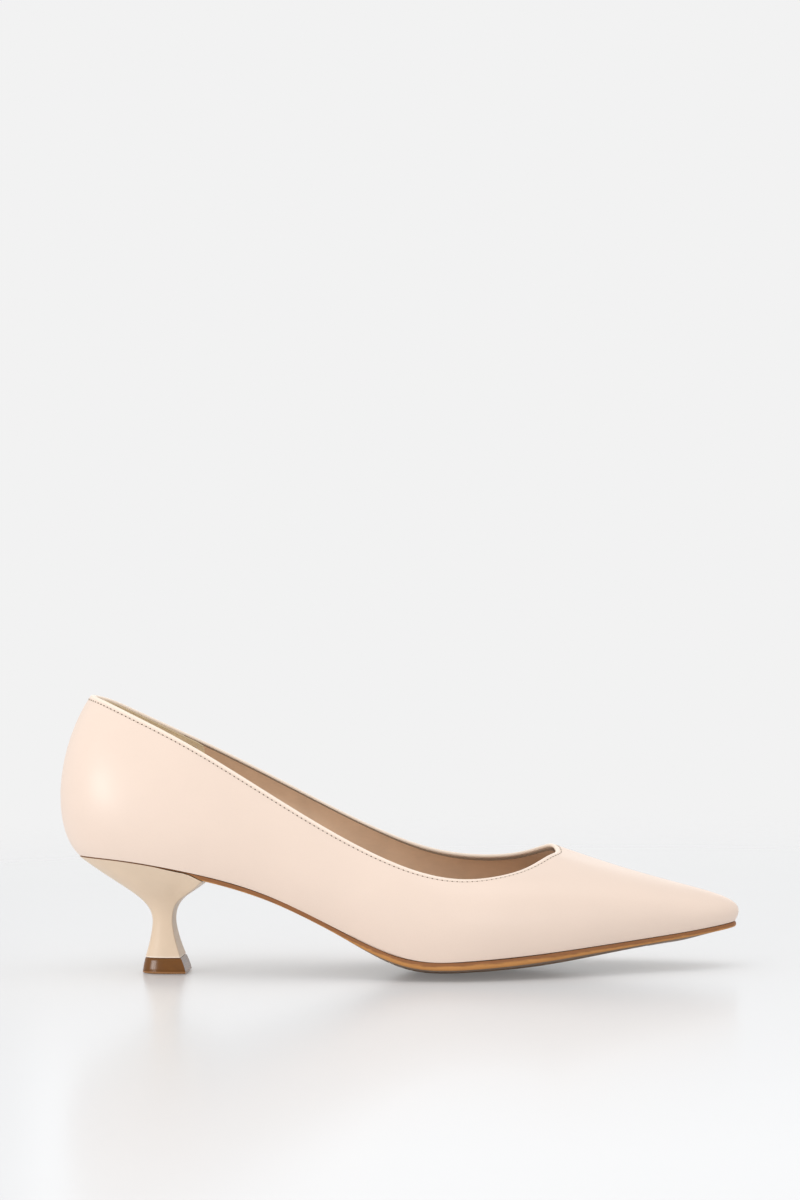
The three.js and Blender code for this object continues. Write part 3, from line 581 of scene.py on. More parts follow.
def upper_leather():
    made = Finish("Nude satin leather", Coat_Weight=0.15, Coat_Roughness=0.28,
                  Specular_IOR_Level=0.45)
    # The rim mark gets the paler rim colour: a painted highlight on the rounded folded edge and its
    # inner flap.
    leather_with_rim_highlight = made.marked("rim", made.tone(colour_of("leather"), 0.035, patch=34), colour_of("rim"))
    grain = made.use(leather_grain(), Cells=per(0.42), Creases=per(2.4))
    made.colour(shade_of(made.tree, leather_with_rim_highlight, 0.05, grain["Pores"]))
    made.handled(0.36, 0.5)
    made.bump(grain["Height"], depth=0.035, strength=0.5)
    return made.material


def flesh_side():
    made = Finish("Leather flesh side", Roughness=0.85)
    made.colour(made.napped(colour_of("rim"), 0.2, fibre=0.7, depth=0.08))
    return made.material


def twisted_thread():
    """Two plies, whose grooves wind round each stitch."""
    made = Finish("Twisted thread", Roughness=0.6, Sheen_Weight=0.2)
    two_a_turn = 12.6
    wave = times_plus(made.tree, made.mark("strand"), two_a_turn, 0.0)
    ply = node(made.tree, "Math", {0: wave}, operation="SINE").outputs[0]
    groove = ramp(made.tree, ply, low=-1.0, high=1.0)
    # The grooves between the plies are darkened: painted shade in the grooves, on top of their
    # bump.
    made.colour(shade_of(made.tree, colour_of("thread"), 0.35, groove))
    made.bump(groove, depth=0.04)
    return made.material


def needle_shadow():
    made = Finish("Needle hole shade", Roughness=0.9, Specular_IOR_Level=0.1)
    made.colour(made.tone(colour_of("needle_hole_shade"), 0.3, patch=3))
    return made.material


def lining_leather(name, colour, edge, amount, fibre):
    made = Finish(name, Sheen_Weight=0.12, Sheen_Roughness=0.5, Specular_IOR_Level=0.3)
    fluff = made.napped(colour_of(colour), amount, fibre, depth=0.06)
    # The cut mark takes the dark edge colour: partly the trimmed edge's own colour and partly
    # painted shade.
    made.colour(made.marked("cut", made.tone(fluff, 0.08, patch=22), colour_of(edge)))
    made.handled(0.62, 0.85)
    return made.material


def sole_paint():
    made = Finish("Painted sole", Coat_Weight=0.03, Coat_Roughness=0.24, Specular_IOR_Level=0.18)
    paint = made.use(painted_edge(), Level=made.mark("level"), Low_Colour=colour_of("sole_gold"),
                     High_Colour=colour_of("sole_dark"))
    # The underside colour is partly its own and partly painted shade, darkened for the contact
    # shadow under the sole.
    under = made.tone(colour_of("sole_under_and_shade"), 0.15, patch=12)
    made.colour(made.marked("edge", under, paint["Colour"]))
    made.handled(0.34, 0.55)
    made.bump(paint["Height"], depth=0.05)
    return made.material


def moulded_rubber():
    made = Finish("Moulded tread", Specular_IOR_Level=0.4)
    # The same underside colour: partly its own and partly painted shade for the contact shadow.
    made.colour(made.tone(colour_of("sole_under_and_shade"), 0.2, patch=9))
    made.handled(0.45, 0.7)
    return made.material


def heel_lacquer():
    made = Finish("Heel lacquer", Coat_Weight=0.03, Coat_Roughness=0.22, Specular_IOR_Level=0.14)
    # The rim mark, a thin band at the foot of the heel where it meets the tip, gets the pale rim
    # colour: a painted highlight along that edge.
    made.colour(made.marked("rim", made.tone(colour_of("heel"), 0.05, patch=16), colour_of("rim")))
    made.handled(0.3, 0.42)
    grain = made.use(leather_grain(), Cells=per(0.8), Creases=per(3))
    made.bump(grain["Height"], depth=0.02, strength=0.5)
    return made.material


def tip_plastic():
    made = Finish("Glossy caramel tip", Coat_Weight=0.06, Coat_Roughness=0.06,
                  Specular_IOR_Level=0.28)
    tone = made.tone(colour_of("tip"), 0.15, patch=5)
    # The moulding line at the foot gets the lighter tip rim colour: a painted highlight on its
    # rounded edge.
    made.colour(made.marked("rim", tone, colour_of("tip_rim_highlight")))
    made.handled(0.12, 0.26)
    return made.material


def hidden_finish(name, colour, smoothest, roughest, depth, fibre, **plain):
    made = Finish(name, **plain)
    made.colour(made.napped((*colour, 1), 0.2, fibre, depth))
    made.handled(smoothest, roughest)
    return made.material


# ---------- Settings ----------
def length(name, description, value_in_mm):
    return bpy.props.FloatProperty(name=name, description=description, default=value_in_mm * MM,
                                   unit="LENGTH")


def tint(name, description, colour):
    return bpy.props.FloatVectorProperty(name=name, description=description, default=colour,
                                         subtype="COLOR", min=0, max=1)


class ShoeSizes(bpy.types.PropertyGroup):
    rim_width: length("Rim width", "Thickness of the folded edge at the topline", 1.5)
    stitch_drop: length("Stitch drop", "How far the stitches run below the topline", 2.2)
    stitch_pitch: length("Stitch pitch", "From one stitch to the next", 1.95)
    stitch_length: length("Stitch length", "Thread that shows in each stitch", 1.3)
    thread_width: length("Thread width", "Width of the topline thread", 0.42)
    back_seam_depth: length("Back seam depth", "How deep the groove of the back seam is", 0.3)
    lining_edge_drop: length(
        "Lining edge", "How far the trimmed lining ends below the rim, at the sides", 0.55)
    throat_edge_drop: length("Lining edge at the throat", "The same, in front of the foot", 1.3)
    lap_lift: length("Lap lift", "How far the heel grip stands off the lining under it", 0.6)
    rib_pitch: length("Rib pitch", "From one rib of the tread to the next", 3.2)
    heel_edge: length("Heel edge", "Rounding of the edges of the heel", 0.35)


class ShoeColours(bpy.types.PropertyGroup):
    leather: tint("Leather", "Smooth side of the upper", (0.825, 0.665, 0.56))
    # Paler than the leather: a painted highlight on the rounded folded edge. The hidden flesh side
    # and the pale band at the heel's foot use it too.
    rim: tint("Folded edge", "Folded edge of the leather at the topline", (0.9, 0.77, 0.65))
    thread: tint("Thread", "Topline thread", (0.86, 0.73, 0.6))
    # A dark piece of painted shade in each needle hole.
    needle_hole_shade: tint("Needle hole shade", "Shadow where the thread goes in", (0.16, 0.11, 0.08))
    vamp_lining: tint("Vamp lining", "Lining from the waist to the toe", (0.78, 0.56, 0.39))
    heel_grip: tint("Heel grip", "Napped lining round the heel", (0.93, 0.78, 0.54))
    # Near black: partly the trimmed edges' own colour and partly painted shade in the gap under the
    # folded rim. The sock's edge takes it too.
    cut_edge_and_shade: tint("Cut edge", "Trimmed edge of the linings", (0.16, 0.1, 0.06))
    # Partly the heel grip's own edge colour and partly painted shade at the top of the heel grip.
    grip_edge_and_shade: tint("Heel grip edge", "Trimmed edge of the heel grip", (0.5, 0.38, 0.23))
    sock: tint("Sock", "Lining under the foot", (0.62, 0.45, 0.32))
    sole_dark: tint("Sole paint", "Upper part of the painted edge", (0.31, 0.13, 0.05))
    sole_gold: tint("Sole paint, low", "Lower part of the painted edge", (0.6, 0.28, 0.09))
    # Darker than the sole's own colour: partly its own tone and partly painted shade for the
    # contact shadow under the sole.
    sole_under_and_shade: tint("Sole", "Underside of the sole", (0.26, 0.17, 0.11))
    heel: tint("Heel", "Lacquer of the heel", (0.76, 0.6, 0.45))
    tip: tint("Heel tip", "Plastic of the heel tip", (0.17, 0.062, 0.008))
    # Lighter than the tip: a painted highlight on the moulding line at its foot.
    tip_rim_highlight: tint("Heel tip rim", "Moulding line at the foot of the tip", (0.3, 0.14, 0.05))
    floor: tint("Floor", "Plain pale floor", (0.755, 0.762, 0.775))


# ---------- The upper and its stitches ----------
WALL_SHARES = (0.03, 0.07, 0.12, 0.18, 0.25, 0.33, 0.42, 0.51, 0.6, 0.69, 0.77, 0.84, 0.9, 0.95, 1)
CLEAR = 6  # how far below the topline the rows of the wall end
UPPER, LINING = 1.2, 0.8  # thickness of the leather and of the linings
FOLD_DEPTH, RIM_RISE = 9, 0.8
SEAM_REACH = 0.022  # of the groove at the back seam, to either side, in stations
STITCH_SINK = 0.11
# Across the line of stitches: distance from it, and how far the thread pulls the leather in.
STITCH_CHANNEL = ((0.5, 0), (0.32, 0.02), (0.16, 0.08), (0, STITCH_SINK), (-0.16, 0.08),
                  (-0.32, 0.02), (-0.5, 0))
THREAD_HEIGHT, THREAD_LIFT = 0.2, 0.06
# Flat dark pieces laid between the stitches, where the needle holes are: painted shade.
HOLE_SHADE_HEIGHT, HOLE_SHADE_LIFT, HOLE_SHADE_OVERLAP = 0.07, 0.05, 0.15
HOLE_SHADE_WIDTH = 1.25  # times the width of the thread
END_DIP = 0.9  # how deep the ends of a stitch go, in heights of the stitch


def arch(width, rise, steps=8):
    """Pairs of drop and depth over a rounded edge, from its outer side to its inner side."""
    turns = np.linspace(0, np.pi, steps + 1)
    return [(rise * (1 - np.sin(t)), width / 2 * (1 - np.cos(t))) for t in turns]


class COURT_SHOE_OT_upper(bpy.types.Operator):
    """Make the leather upper: one piece with a folded topline and a closed seam at the back"""

    bl_idname = "court_shoe.upper"
    bl_label = "Upper"

    def execute(self, context):
        rim, drop, groove = size_of("rim_width"), size_of("stitch_drop"), size_of("back_seam_depth")

        def skin(sunk=0.0):
            return lambda v, u: sunk + groove * np.exp(-((from_back(v) / SEAM_REACH) ** 2))

        smooth_rows = [(under_board(d, 0), 0) for d in (11, 6, 3.2, 1.4, 0.5, 0)]
        smooth_rows += [(on_wall(share, skin(), CLEAR), 0) for share in WALL_SHARES]
        smooth_rows += [(below_top(d, skin()), 0) for d in (5, 4, 3.2, 2.6)]
        smooth_rows += [(below_top(drop + side, skin(sunk)), 0) for side, sunk in STITCH_CHANNEL]
        # The rows marked 1, over the rounded fold and down its inner flap, are painted paler: a
        # painted highlight on the folded edge.
        smooth_rows += [(below_top(d, skin(sunk)), 1) for d, sunk in arch(rim, RIM_RISE)]
        smooth_rows += [(below_top(d, rim), 1) for d in (1.3, 3, 6, FOLD_DEPTH)]
        flesh_rows = [(below_top(FOLD_DEPTH + 0.3, UPPER), 0)]
        flesh_rows += [(on_wall(share, UPPER, 2 * CLEAR), 0) for share in (0.9, 0.6, 0.35, 0.12)]
        flesh_rows += [(at_corner(UPPER), 0)]
        flesh_rows += [(under_board(d, UPPER), 0) for d in (3.4, 11)]
        beside_seam = np.array([0.012, 0.025, 0.04, 0.06])
        columns = round_columns(extra=[*-beside_seam, *beside_seam])
        points, marks = lasted(smooth_rows + flesh_rows, columns)
        piece = draped("upper", points, {"rim": marks}, [upper_leather(), flesh_side()],
                       [0] * len(smooth_rows) + [1] * len(flesh_rows))
        ride(piece, "upper_leather", "upper_leather", "topline_tape")
        return {"FINISHED"}


def stitch_places(drop, depth, pitch, samples=6000, near=0.01):
    """Even stitches below the topline: their places, axes (outward, across, along) and pitch."""
    line = below_top(drop, depth)
    fine = np.linspace(0, TURN, samples)
    run = np.concatenate([[0], np.cumsum(length_of(np.diff(line(fine), axis=0))[:, 0])])
    count = int(round(run[-1] / pitch))
    v = np.interp((np.arange(count) + 0.5) / count * run[-1], run, fine)
    along = line(v + near) - line(v - near)
    along /= length_of(along)
    out = facing(v, 1 - drop / wall_height(v))
    return line(v), np.stack([out, np.cross(along, out), along], 1), run[-1] / count


def thread_shape(long, wide, high):
    """One stitch along its Z: a rounded length of thread whose ends dip into the leather."""
    bpy.ops.object.select_all(action="DESELECT")
    bpy.ops.mesh.primitive_uv_sphere_add(segments=8, ring_count=6, radius=1)
    shape = bpy.context.object
    for v in shape.data.vertices:
        dip = END_DIP * v.co.z**2
        v.co = (high * (v.co.x - dip), wide / 2 * v.co.y, long / 2 * v.co.z)
    return shape


class COURT_SHOE_OT_topline_stitches(bpy.types.Operator):
    """Make the row of stitches under the folded edge, and painted shade at the needle holes between
    them
    """

    bl_idname = "court_shoe.topline_stitches"
    bl_label = "Topline Stitches"

    def execute(self, context):
        long, wide = size_of("stitch_length"), size_of("thread_width")
        at, axes, step = stitch_places(size_of("stitch_drop"), STITCH_SINK, size_of("stitch_pitch"))
        out, along = axes[:, 0], axes[:, 2]
        thread = thread_shape(long, wide, THREAD_HEIGHT)
        ride(scattered("topline_stitches", thread, at + THREAD_LIFT * out, axes, twisted_thread(),
                       strand=True), "topline_thread", "topline_thread")
        # Dark flat pieces between the stitches: painted shade in the needle holes.
        hole = thread_shape(step - long + HOLE_SHADE_OVERLAP, wide * HOLE_SHADE_WIDTH, HOLE_SHADE_HEIGHT)
        gaps = at + along * step / 2 + HOLE_SHADE_LIFT * out
        ride(scattered("needle_hole_shades", hole, gaps, axes, needle_shadow()), "topline_thread")
        return {"FINISHED"}


# ---------- The linings and the sock ----------
LINING_DEPTH = 2.0  # from the outside of the upper, where nothing stiffens it
STIFFENER_ROOM = 1.15
# Where the room for the counter and the puff runs out: stations from the back seam or the toe, and
# shares of the wall's height.
COUNTER_END, COUNTER_TOP = (4, 5.2), (0.66, 0.84)
PUFF_END, PUFF_TOP = (3.2, 4.4), (0.5, 0.66)
CORNER_SLACK = 0.1
MARGIN_HEIGHT = 1.35  # of the lining's lower edge, above the bottom of the last
THROAT = (1.6, 3.6)  # stations from the toe, where the throat's edge drop passes to the sides'
VAMP_END, GRIP_END, LAP_SEAM = 2.62, 2.95, 2.82  # stations from the back seam
LAP_START = (2.0, 2.6)  # stations from the back seam, where the grip rises to lie over the lining
GRIP_LIFT_SHARE = 0.35  # how much of its lift it has before that
EDGE_WAVES = ((0.35, 0.55, 0), (0.2, 1.3, 1))  # of the hand-cut edge: depth, pace and start
LAP_DROPS = np.arange(2.6, 40, 2.1)  # of the stitches on the lap, below the topline
LAP_SHARE = 0.72  # how much of the wall they run down
LAP_STITCH = (1.5, 0.42, 0.2)  # long, wide and high
LAP_STITCH_LIFT = 0.04  # off the heel grip


def lining_depth(v, u, extra=0.0):
    heel = 1 - smooth(*COUNTER_END, from_back(v))
    toe = 1 - smooth(*PUFF_END, np.abs(np.mod(v, TURN) - TOE))
    stiff = heel * (1 - smooth(*COUNTER_TOP, u)) + toe * (1 - smooth(*PUFF_TOP, u))
    return LINING_DEPTH + STIFFENER_ROOM * stiff + extra


def lining_rows(edge_drop, lift=lambda v: 0.0):
    """Rows of a lining, each with a mark that is 1 on the trimmed top edge, painted dark: partly
    the edge's own colour and partly painted shade under the folded rim. lift moves all of it
    inwards."""

    def layer(share):
        return lambda v, u: lining_depth(v, u, lift(v)) + share * LINING

    def under(fall):
        return lambda v: edge_drop(v) + fall

    outer, middle, inner = layer(0), layer(0.5), layer(1)
    corner = LINING_DEPTH + CORNER_SLACK
    rows = [(under_board(d, MARGIN_HEIGHT), 0) for d in (10.5, 3.6)]
    rows += [(at_corner(corner), 0)]
    rows += [(on_wall(share, outer, CLEAR), 0) for share in WALL_SHARES[2:]]
    rows += [(below_top(under(d), outer), 0) for d in (3, 1.4, 0.5)]
    rows += [(below_top(under(d), at), 1) for d, at in ((0, outer), (0, middle), (0.15, inner))]
    rows += [(below_top(under(d), inner), 0) for d in (0.4, 0.8, 1.6, 3)]
    rows += [(on_wall(share, inner, CLEAR), 0) for share in WALL_SHARES[:1:-1]]
    rows += [(at_corner(corner + LINING), 0)]
    rows += [(under_board(d, MARGIN_HEIGHT + LINING), 0) for d in (3.6, 10.5)]
    return rows


def lap_places(seam, lift):
    """Places and axes (inward, across, down) of the stitches down one seam of the heel grip."""
    v = np.array([seam])
    wall = wall_height(v)
    places = []
    for drop in LAP_DROPS[LAP_DROPS < wall[0] * LAP_SHARE]:
        above, at, below = (
            below_top(d, lambda a, b: lining_depth(a, b, lift + LINING + LAP_STITCH_LIFT))(v)[0]
            for d in (drop - 0.3, drop, drop + 0.3))
        down = (below - above) / np.linalg.norm(below - above)
        inward = -facing(v, 1 - drop / wall)[0]
        places.append((at, [inward, np.cross(down, inward), down]))
    return places


class COURT_SHOE_OT_linings(bpy.types.Operator):
    """Make the vamp lining, and the heel-grip lining that laps over it with a stitched edge"""

    bl_idname = "court_shoe.linings"
    bl_label = "Linings"

    def execute(self, context):
        lift, side, throat = map(size_of, ("lap_lift", "lining_edge_drop", "throat_edge_drop"))

        def drop(v):
            return lerp(throat, side, smooth(*THROAT, TOE - from_back(v)))

        def raised(v):
            return lift * lerp(GRIP_LIFT_SHARE, 1, smooth(*LAP_START, from_back(v)))

        vamp_leather = lining_leather("Vamp lining leather", "vamp_lining", "cut_edge_and_shade", 0.12, 0.9)
        grip_leather = lining_leather("Heel grip leather", "heel_grip", "grip_edge_and_shade", 0.25, 0.45)
        columns = np.linspace(VAMP_END, TURN - VAMP_END, 250)
        points, marks = lasted(lining_rows(drop), columns, ends_shut=True)
        vamp = draped("vamp_lining", points, {"cut": marks}, [vamp_leather])
        ride(vamp, "vamp_lining", "vamp_lining")

        columns = np.linspace(-GRIP_END, GRIP_END, 150)
        points, marks = lasted(lining_rows(drop, raised), columns, ends_shut=True)
        wave = sum(deep * np.sin(points[..., 2] * pace + start) for deep, pace, start in EDGE_WAVES)
        points[..., 0] += wave * smooth(0.9, 1, np.abs(np.linspace(-1, 1, points.shape[1])))
        grip = draped("heel_grip_lining", points, {"cut": marks}, [grip_leather])
        ride(grip, "heel_grip_lining", "heel_grip_lining")

        places = lap_places(-LAP_SEAM, lift) + lap_places(LAP_SEAM, lift)
        origins, axes = (np.array(part) for part in zip(*places))
        lap = scattered("lap_stitches", thread_shape(*LAP_STITCH), origins, axes, twisted_thread(),
                        strand=True)
        ride(lap, "topline_thread")
        return {"FINISHED"}


PADS = ((-119, -62), (-8, 60))  # rear and front end of each foam pad
PAD_SLOPE = (5, 17)  # how far past an end the sock starts to sink, and lies flat
SOCK = 0.7  # its thickness
SOCK_LOW = 4.5  # its underside above the bottom of the last, where it lies on the board
FOAM_RISE = 2.9  # how much higher it lies on a pad
SOCK_GAP = 0.25  # to the lining
SOCK_EDGE = 5.3  # its edge above the feather line
SOCK_CURL = 1.5  # how far the edge may stand above the rest
SOCK_EDGE_RUN = (0.2, 5)  # how far in from the edge the curl starts to level out, and has gone
SOCK_ROUNDING = 0.12
SOCK_SEARCH = (0.02, 0.45)  # shares of the wall's height, between which the edge lies
SOCK_TOP_SHARES = (0, 0.006, 0.02, 0.045, 0.08, 0.12, 0.17, 0.24, 0.33, 0.45, 0.6, 0.8, 1)
SOCK_UNDER_SHARES = (0.004, 0.045, 0.12, 0.24, 0.45, 0.8, 1)


def sock_height(x):
    """The top of the sock above the bottom of the last: it lies on the board and the two pads."""
    padded = sum((1 - smooth(*PAD_SLOPE, rear - x)) * (1 - smooth(*PAD_SLOPE, x - front))
                 for rear, front in PADS)
    return SOCK_LOW + SOCK + FOAM_RISE * padded


class COURT_SHOE_OT_sock(bpy.types.Operator):
    """Make the sock lining, which lies on the pads and dips to the lining all round"""

    bl_idname = "court_shoe.sock"
    bl_label = "Sock"

    def execute(self, context):
        columns = round_columns()
        target = feather(columns)[..., 2] + SOCK_EDGE

        def beside_lining(u):
            return pushed_in(columns, u, lambda v, u: lining_depth(v, u, LINING + SOCK_GAP))

        low, high = (np.full(columns.shape, share) for share in SOCK_SEARCH)
        edge = beside_lining(crossing(low, high, lambda u: beside_lining(u)[..., 2] < target))
        border = feather_height(edge[:, 0]) + SOCK_EDGE
        middle_x, middle_y = spine(columns)
        reach = np.hypot(edge[:, 0] - middle_x, edge[:, 1] - middle_y)

        def row(share, sink):
            x, y = lerp(edge[:, 0], middle_x, share), lerp(edge[:, 1], middle_y, share)
            full = bottom_height(x, y) + sock_height(x)
            rise = smooth(*SOCK_EDGE_RUN, share * reach)
            curled = lerp(np.minimum(border, full + SOCK_CURL), full, rise)
            return np.stack([x, y, curled - sink], -1)

        tops = [row(share, 0 if share else SOCK_ROUNDING) for share in SOCK_TOP_SHARES]
        bottoms = [row(share, SOCK) for share in SOCK_UNDER_SHARES]
        points = np.array([*tops[::-1], *bottoms])
        # The sock's edge rows take the dark cut-edge colour: partly its own edge colour and partly
        # painted shade where it meets the lining.
        cut = np.zeros((len(points), 1))
        cut[len(tops) - 1 : len(tops) + 1] = 1
        finish = lining_leather("Sock leather", "sock", "cut_edge_and_shade", 0.12, 0.8)
        ride(draped("sock_lining", points, {"cut": cut}, [finish]), "sock_lining", "sock_lining")
        return {"FINISHED"}


# ---------- The sole ----------
BREAST_X = -75  # the flat front of the heel
SOLE_WAIST, SOLE_BALL, SOLE_TOE, SOLE_SEAT = 1.8, 3, 2, 0.25  # thickness
# Places along the shoe between which the sole changes: in thickness, and in the height of the
# darker paint on its edge.
EMERGING = (BREAST_X - 7, BREAST_X + 1)
SOLE_WAIST_TO_BALL, SOLE_BALL_TO_TOE = (-35, 15), (45, 110)
PAINT_SEAT_TO_WAIST = (BREAST_X - 14, BREAST_X - 4)
PAINT_WAIST_TO_BALL, PAINT_BALL_TO_TOE = (-40, 10), (50, 110)
DARKER_WAIST, DARKER_TOE, DARKEST = 0.26, 0.14, 1.2
SOLE_TOP = -0.2
EDGE_IN_SEAT, EDGE_OUT = -0.55, 0.4  # how far the edge stands out past the feather line
EDGE_BULGE = 0.3  # how round it is, as a share of its thickness
EDGE_TURNS = np.radians([-90, -65, -40, -15, 10, 35, 60, 90])
SOLE_UNDER_SHARES = (1, 0.85, 0.7, 0.58, 0.47, 0.37, 0.29, 0.24, 0.2, 0.17, 0.145, 0.12, 0.09,
                     0.05, 0.02)
SOLE_TOP_SHARES = (0.05, 0.3, 0.7, 1)
PANEL = (-2, 98)  # the tread panel runs between these places along the shoe
PANEL_DEPTH, PANEL_BORDER = 0.4, 7
RIB_SLANT = np.radians(58)
RIB_HALF, RIB_END = 0.7, 0.6  # half its width, and how far it ends from the side of the panel
RIB_CLEARANCE = 0.02  # above the ground
RIB_LINES = (-110, 40)  # where the first rib lies and the last may lie, across their direction
RIB_TRACK = np.linspace(-90, 160, 1200)  # places along a rib's line, to find those in the panel
SHORTEST_RIB = 25  # how many of those places a rib needs
# Place across a rib, in halves of its width, and height above the floor of the sunk panel.
RIB_SECTION = ((-1, 0.1), (-0.7, -0.34), (0.7, -0.34), (1, 0.1))


def emerged(x):
    return smooth(*EMERGING, x)


def sole_thickness(x):
    ahead = lerp(SOLE_WAIST, SOLE_BALL, smooth(*SOLE_WAIST_TO_BALL, x))
    front = lerp(ahead, SOLE_TOE, smooth(*SOLE_BALL_TO_TOE, x))
    return lerp(SOLE_SEAT, front, emerged(x))


def in_panel(x, y, soft=1.0):
    outer, inner = edges(x)
    outer, inner = outer + PANEL_BORDER, inner - PANEL_BORDER
    rear, front = PANEL
    across = smooth(outer - soft, outer, y) * (1 - smooth(inner, inner + soft, y))
    return across * smooth(rear - soft, rear, x) * (1 - smooth(front, front + soft, x))


class COURT_SHOE_OT_outsole(bpy.types.Operator):
    """Make the outsole, with its rounded painted edge and the sunk panel of the tread"""

    bl_idname = "court_shoe.outsole"
    bl_label = "Outsole"

    def execute(self, context):
        columns = round_columns(per_station=16)
        x_of_edge = feather(columns)[:, 0]
        thick = sole_thickness(x_of_edge)
        out = lerp(EDGE_IN_SEAT, EDGE_OUT, emerged(x_of_edge))
        edge_rows = [inwards(columns, EDGE_BULGE * thick * (1 - np.cos(turn)) - out,
                             SOLE_TOP - thick / 2 + thick / 2 * np.sin(turn))
                     for turn in EDGE_TURNS]
        foot, middle = edge_rows[0], spine(columns)

        def plate_row(share, under):
            x, y = lerp(foot[:, 0], middle[0], share), lerp(foot[:, 1], middle[1], share)
            thickness = sole_thickness(x) if under else 0
            sunk = PANEL_DEPTH * in_panel(x, y) if under else 0
            return on_bottom(x, y, SOLE_TOP - thickness + sunk)

        unders = [plate_row(share, True) for share in SOLE_UNDER_SHARES]
        tops = [plate_row(share, False) for share in SOLE_TOP_SHARES]
        points = np.array([*unders, *edge_rows, *tops])
        points[..., 2] = np.maximum(points[..., 2], 0)
        rim = slice(len(unders), len(unders) + len(edge_rows))
        edge, level = np.zeros((len(points), 1)), np.zeros((len(points), 1))
        edge[rim], level[rim, 0] = 1, np.linspace(0, 1, len(edge_rows))
        level = np.maximum(level, 1 - smooth(*PAINT_SEAT_TO_WAIST, x_of_edge)[None])
        darker = (DARKER_WAIST * (1 - smooth(*PAINT_WAIST_TO_BALL, x_of_edge))
                  + DARKER_TOE * smooth(*PAINT_BALL_TO_TOE, x_of_edge))
        marks = {"edge": edge, "level": np.clip(level + darker[None], 0, DARKEST)}
        ride(draped("outsole", points, marks, [sole_paint()]), "outsole", "outsole")
        return {"FINISHED"}


def tread_rib(offset, slant, across, finish):
    """One rib, from one side of the panel to the other, or nothing where it would be too short."""
    x, y = (offset * across + RIB_TRACK[:, None] * slant).T
    inside = RIB_TRACK[in_panel(x, y, soft=0.01) > 0.99]
    if len(inside) < SHORTEST_RIB:
        return []
    span = np.linspace(inside[0] + RIB_END, inside[-1] - RIB_END, 18)
    middle = offset * across + span[:, None] * slant
    rows = []
    for side, height in RIB_SECTION:
        x, y = (middle + side * RIB_HALF * across).T
        rows.append(on_bottom(x, y, SOLE_TOP - sole_thickness(x) + PANEL_DEPTH + height))
    points = np.array(rows)
    points[..., 2] = np.maximum(points[..., 2], RIB_CLEARANCE)
    ends = np.broadcast_to(points.mean(0), points.shape)
    points = np.concatenate([ends[:, :1], points, ends[:, -1:]], 1)
    return [draped("rib", ring_closed(points), finishes=[finish])]


class COURT_SHOE_OT_tread(bpy.types.Operator):
    """Make the slanting ribs of the tread, which fill the sunk panel under the ball and the toe"""

    bl_idname = "court_shoe.tread"
    bl_label = "Tread"

    def execute(self, context):
        slant = np.array([np.cos(RIB_SLANT), np.sin(RIB_SLANT)])
        across = np.array([-slant[1], slant[0]])
        ribs, finish = [], moulded_rubber()
        for offset in np.arange(*RIB_LINES, size_of("rib_pitch")):
            ribs += tread_rib(offset, slant, across, finish)
        bpy.ops.object.select_all(action="DESELECT")
        for rib in ribs:
            rib.select_set(True)
        bpy.context.view_layer.objects.active = ribs[0]
        bpy.ops.object.join()
        tread = bpy.context.object
        tread.name = tread.data.name = "tread"
        ride(tread, "outsole")
        return {"FINISHED"}


# ---------- The heel ----------
# Sections of the heel: height, back, front and half its width.
WAIST_RING = (20.4, -99, -90.4, 5.3)
JOIN_RING = (6.2, -102.1, -86.9, 7.3)
GROUND_RING = (0, -103.3, -84.9, 8.1)
SQUARENESS = 0.72  # 1 gives an ellipse, and less is squarer
STEM_X, STEM_TOP_X = -94.2, -100
# Stops round each section: -1 and 1 are the corners of the flat front, 0 is the back.
HEEL_STOPS = np.concatenate([np.linspace(-1, 1, 73), 1 + np.arange(1, 20) / 10])
ON_BREAST = HEEL_STOPS > 1
ACROSS_BREAST = (HEEL_STOPS - 1) / 2
LIP_GAP, SEAT_GAP = 0.35, 0.06  # between the heel and the sole
SEAT_TO_LIP = (BREAST_X - 20, BREAST_X - 12)
CAP_INSET, CAP_SINK = 0.6, 0.02  # of the heel's closed top, from its rim
CAP_SHARES = (1, 0.7, 0.4, 0.15, 0.03)  # of the way from there to the middle
# Handles of the curve from the rim to the waist: heights above the waist, how far the upper handle
# has come in, and how far it hangs.
UPPER_HANDLE, LOWER_HANDLE, COME_IN, HANG = 6.6, 9.6, 0.62, 1.6
# The last two rings of the stem and the heel's bottom are marked 1: a thin pale band painted there
# as a highlight along the edge that sits on the tip.
STEM_RINGS = [(share, 0) for share in np.linspace(0, 0.955, 15)] + [(0.97, 1), (1, 1)]
# Rings of the tip: height, inset, and 1 on the moulding line at its foot, painted lighter as a
# highlight.
TIP_TOP = JOIN_RING[0] - 0.12
TIP_RINGS = ((TIP_TOP, 0.3, 0), (TIP_TOP - 0.1, 0.08, 0), (TIP_TOP - 0.3, 0, 0),
             (TIP_TOP - 1.2, 0, 0), (3.6, 0, 0), (2, 0, 0), (0.95, 0, 0), (0.8, 0.05, 0),
             (0.68, -0.06, 1), (0.3, -0.06, 1), (0.1, 0.06, 1), (0, 0.22, 1))


def section(ring, inset=0.0):
    z, back, front, half = ring
    back, front, half = back + inset, front - inset, half - inset
    turn = np.pi / 2 * np.clip(np.abs(HEEL_STOPS), 0, 1)
    x = front + (back - front) * np.clip(np.cos(turn), 0, 1) ** SQUARENESS
    y = np.sign(HEEL_STOPS) * half * np.sin(turn) ** SQUARENESS
    x = np.where(ON_BREAST, front, x)
    y = np.where(ON_BREAST, lerp(half, -half, ACROSS_BREAST), y)
    return np.stack([x, y, np.full(x.shape, float(z))], -1)


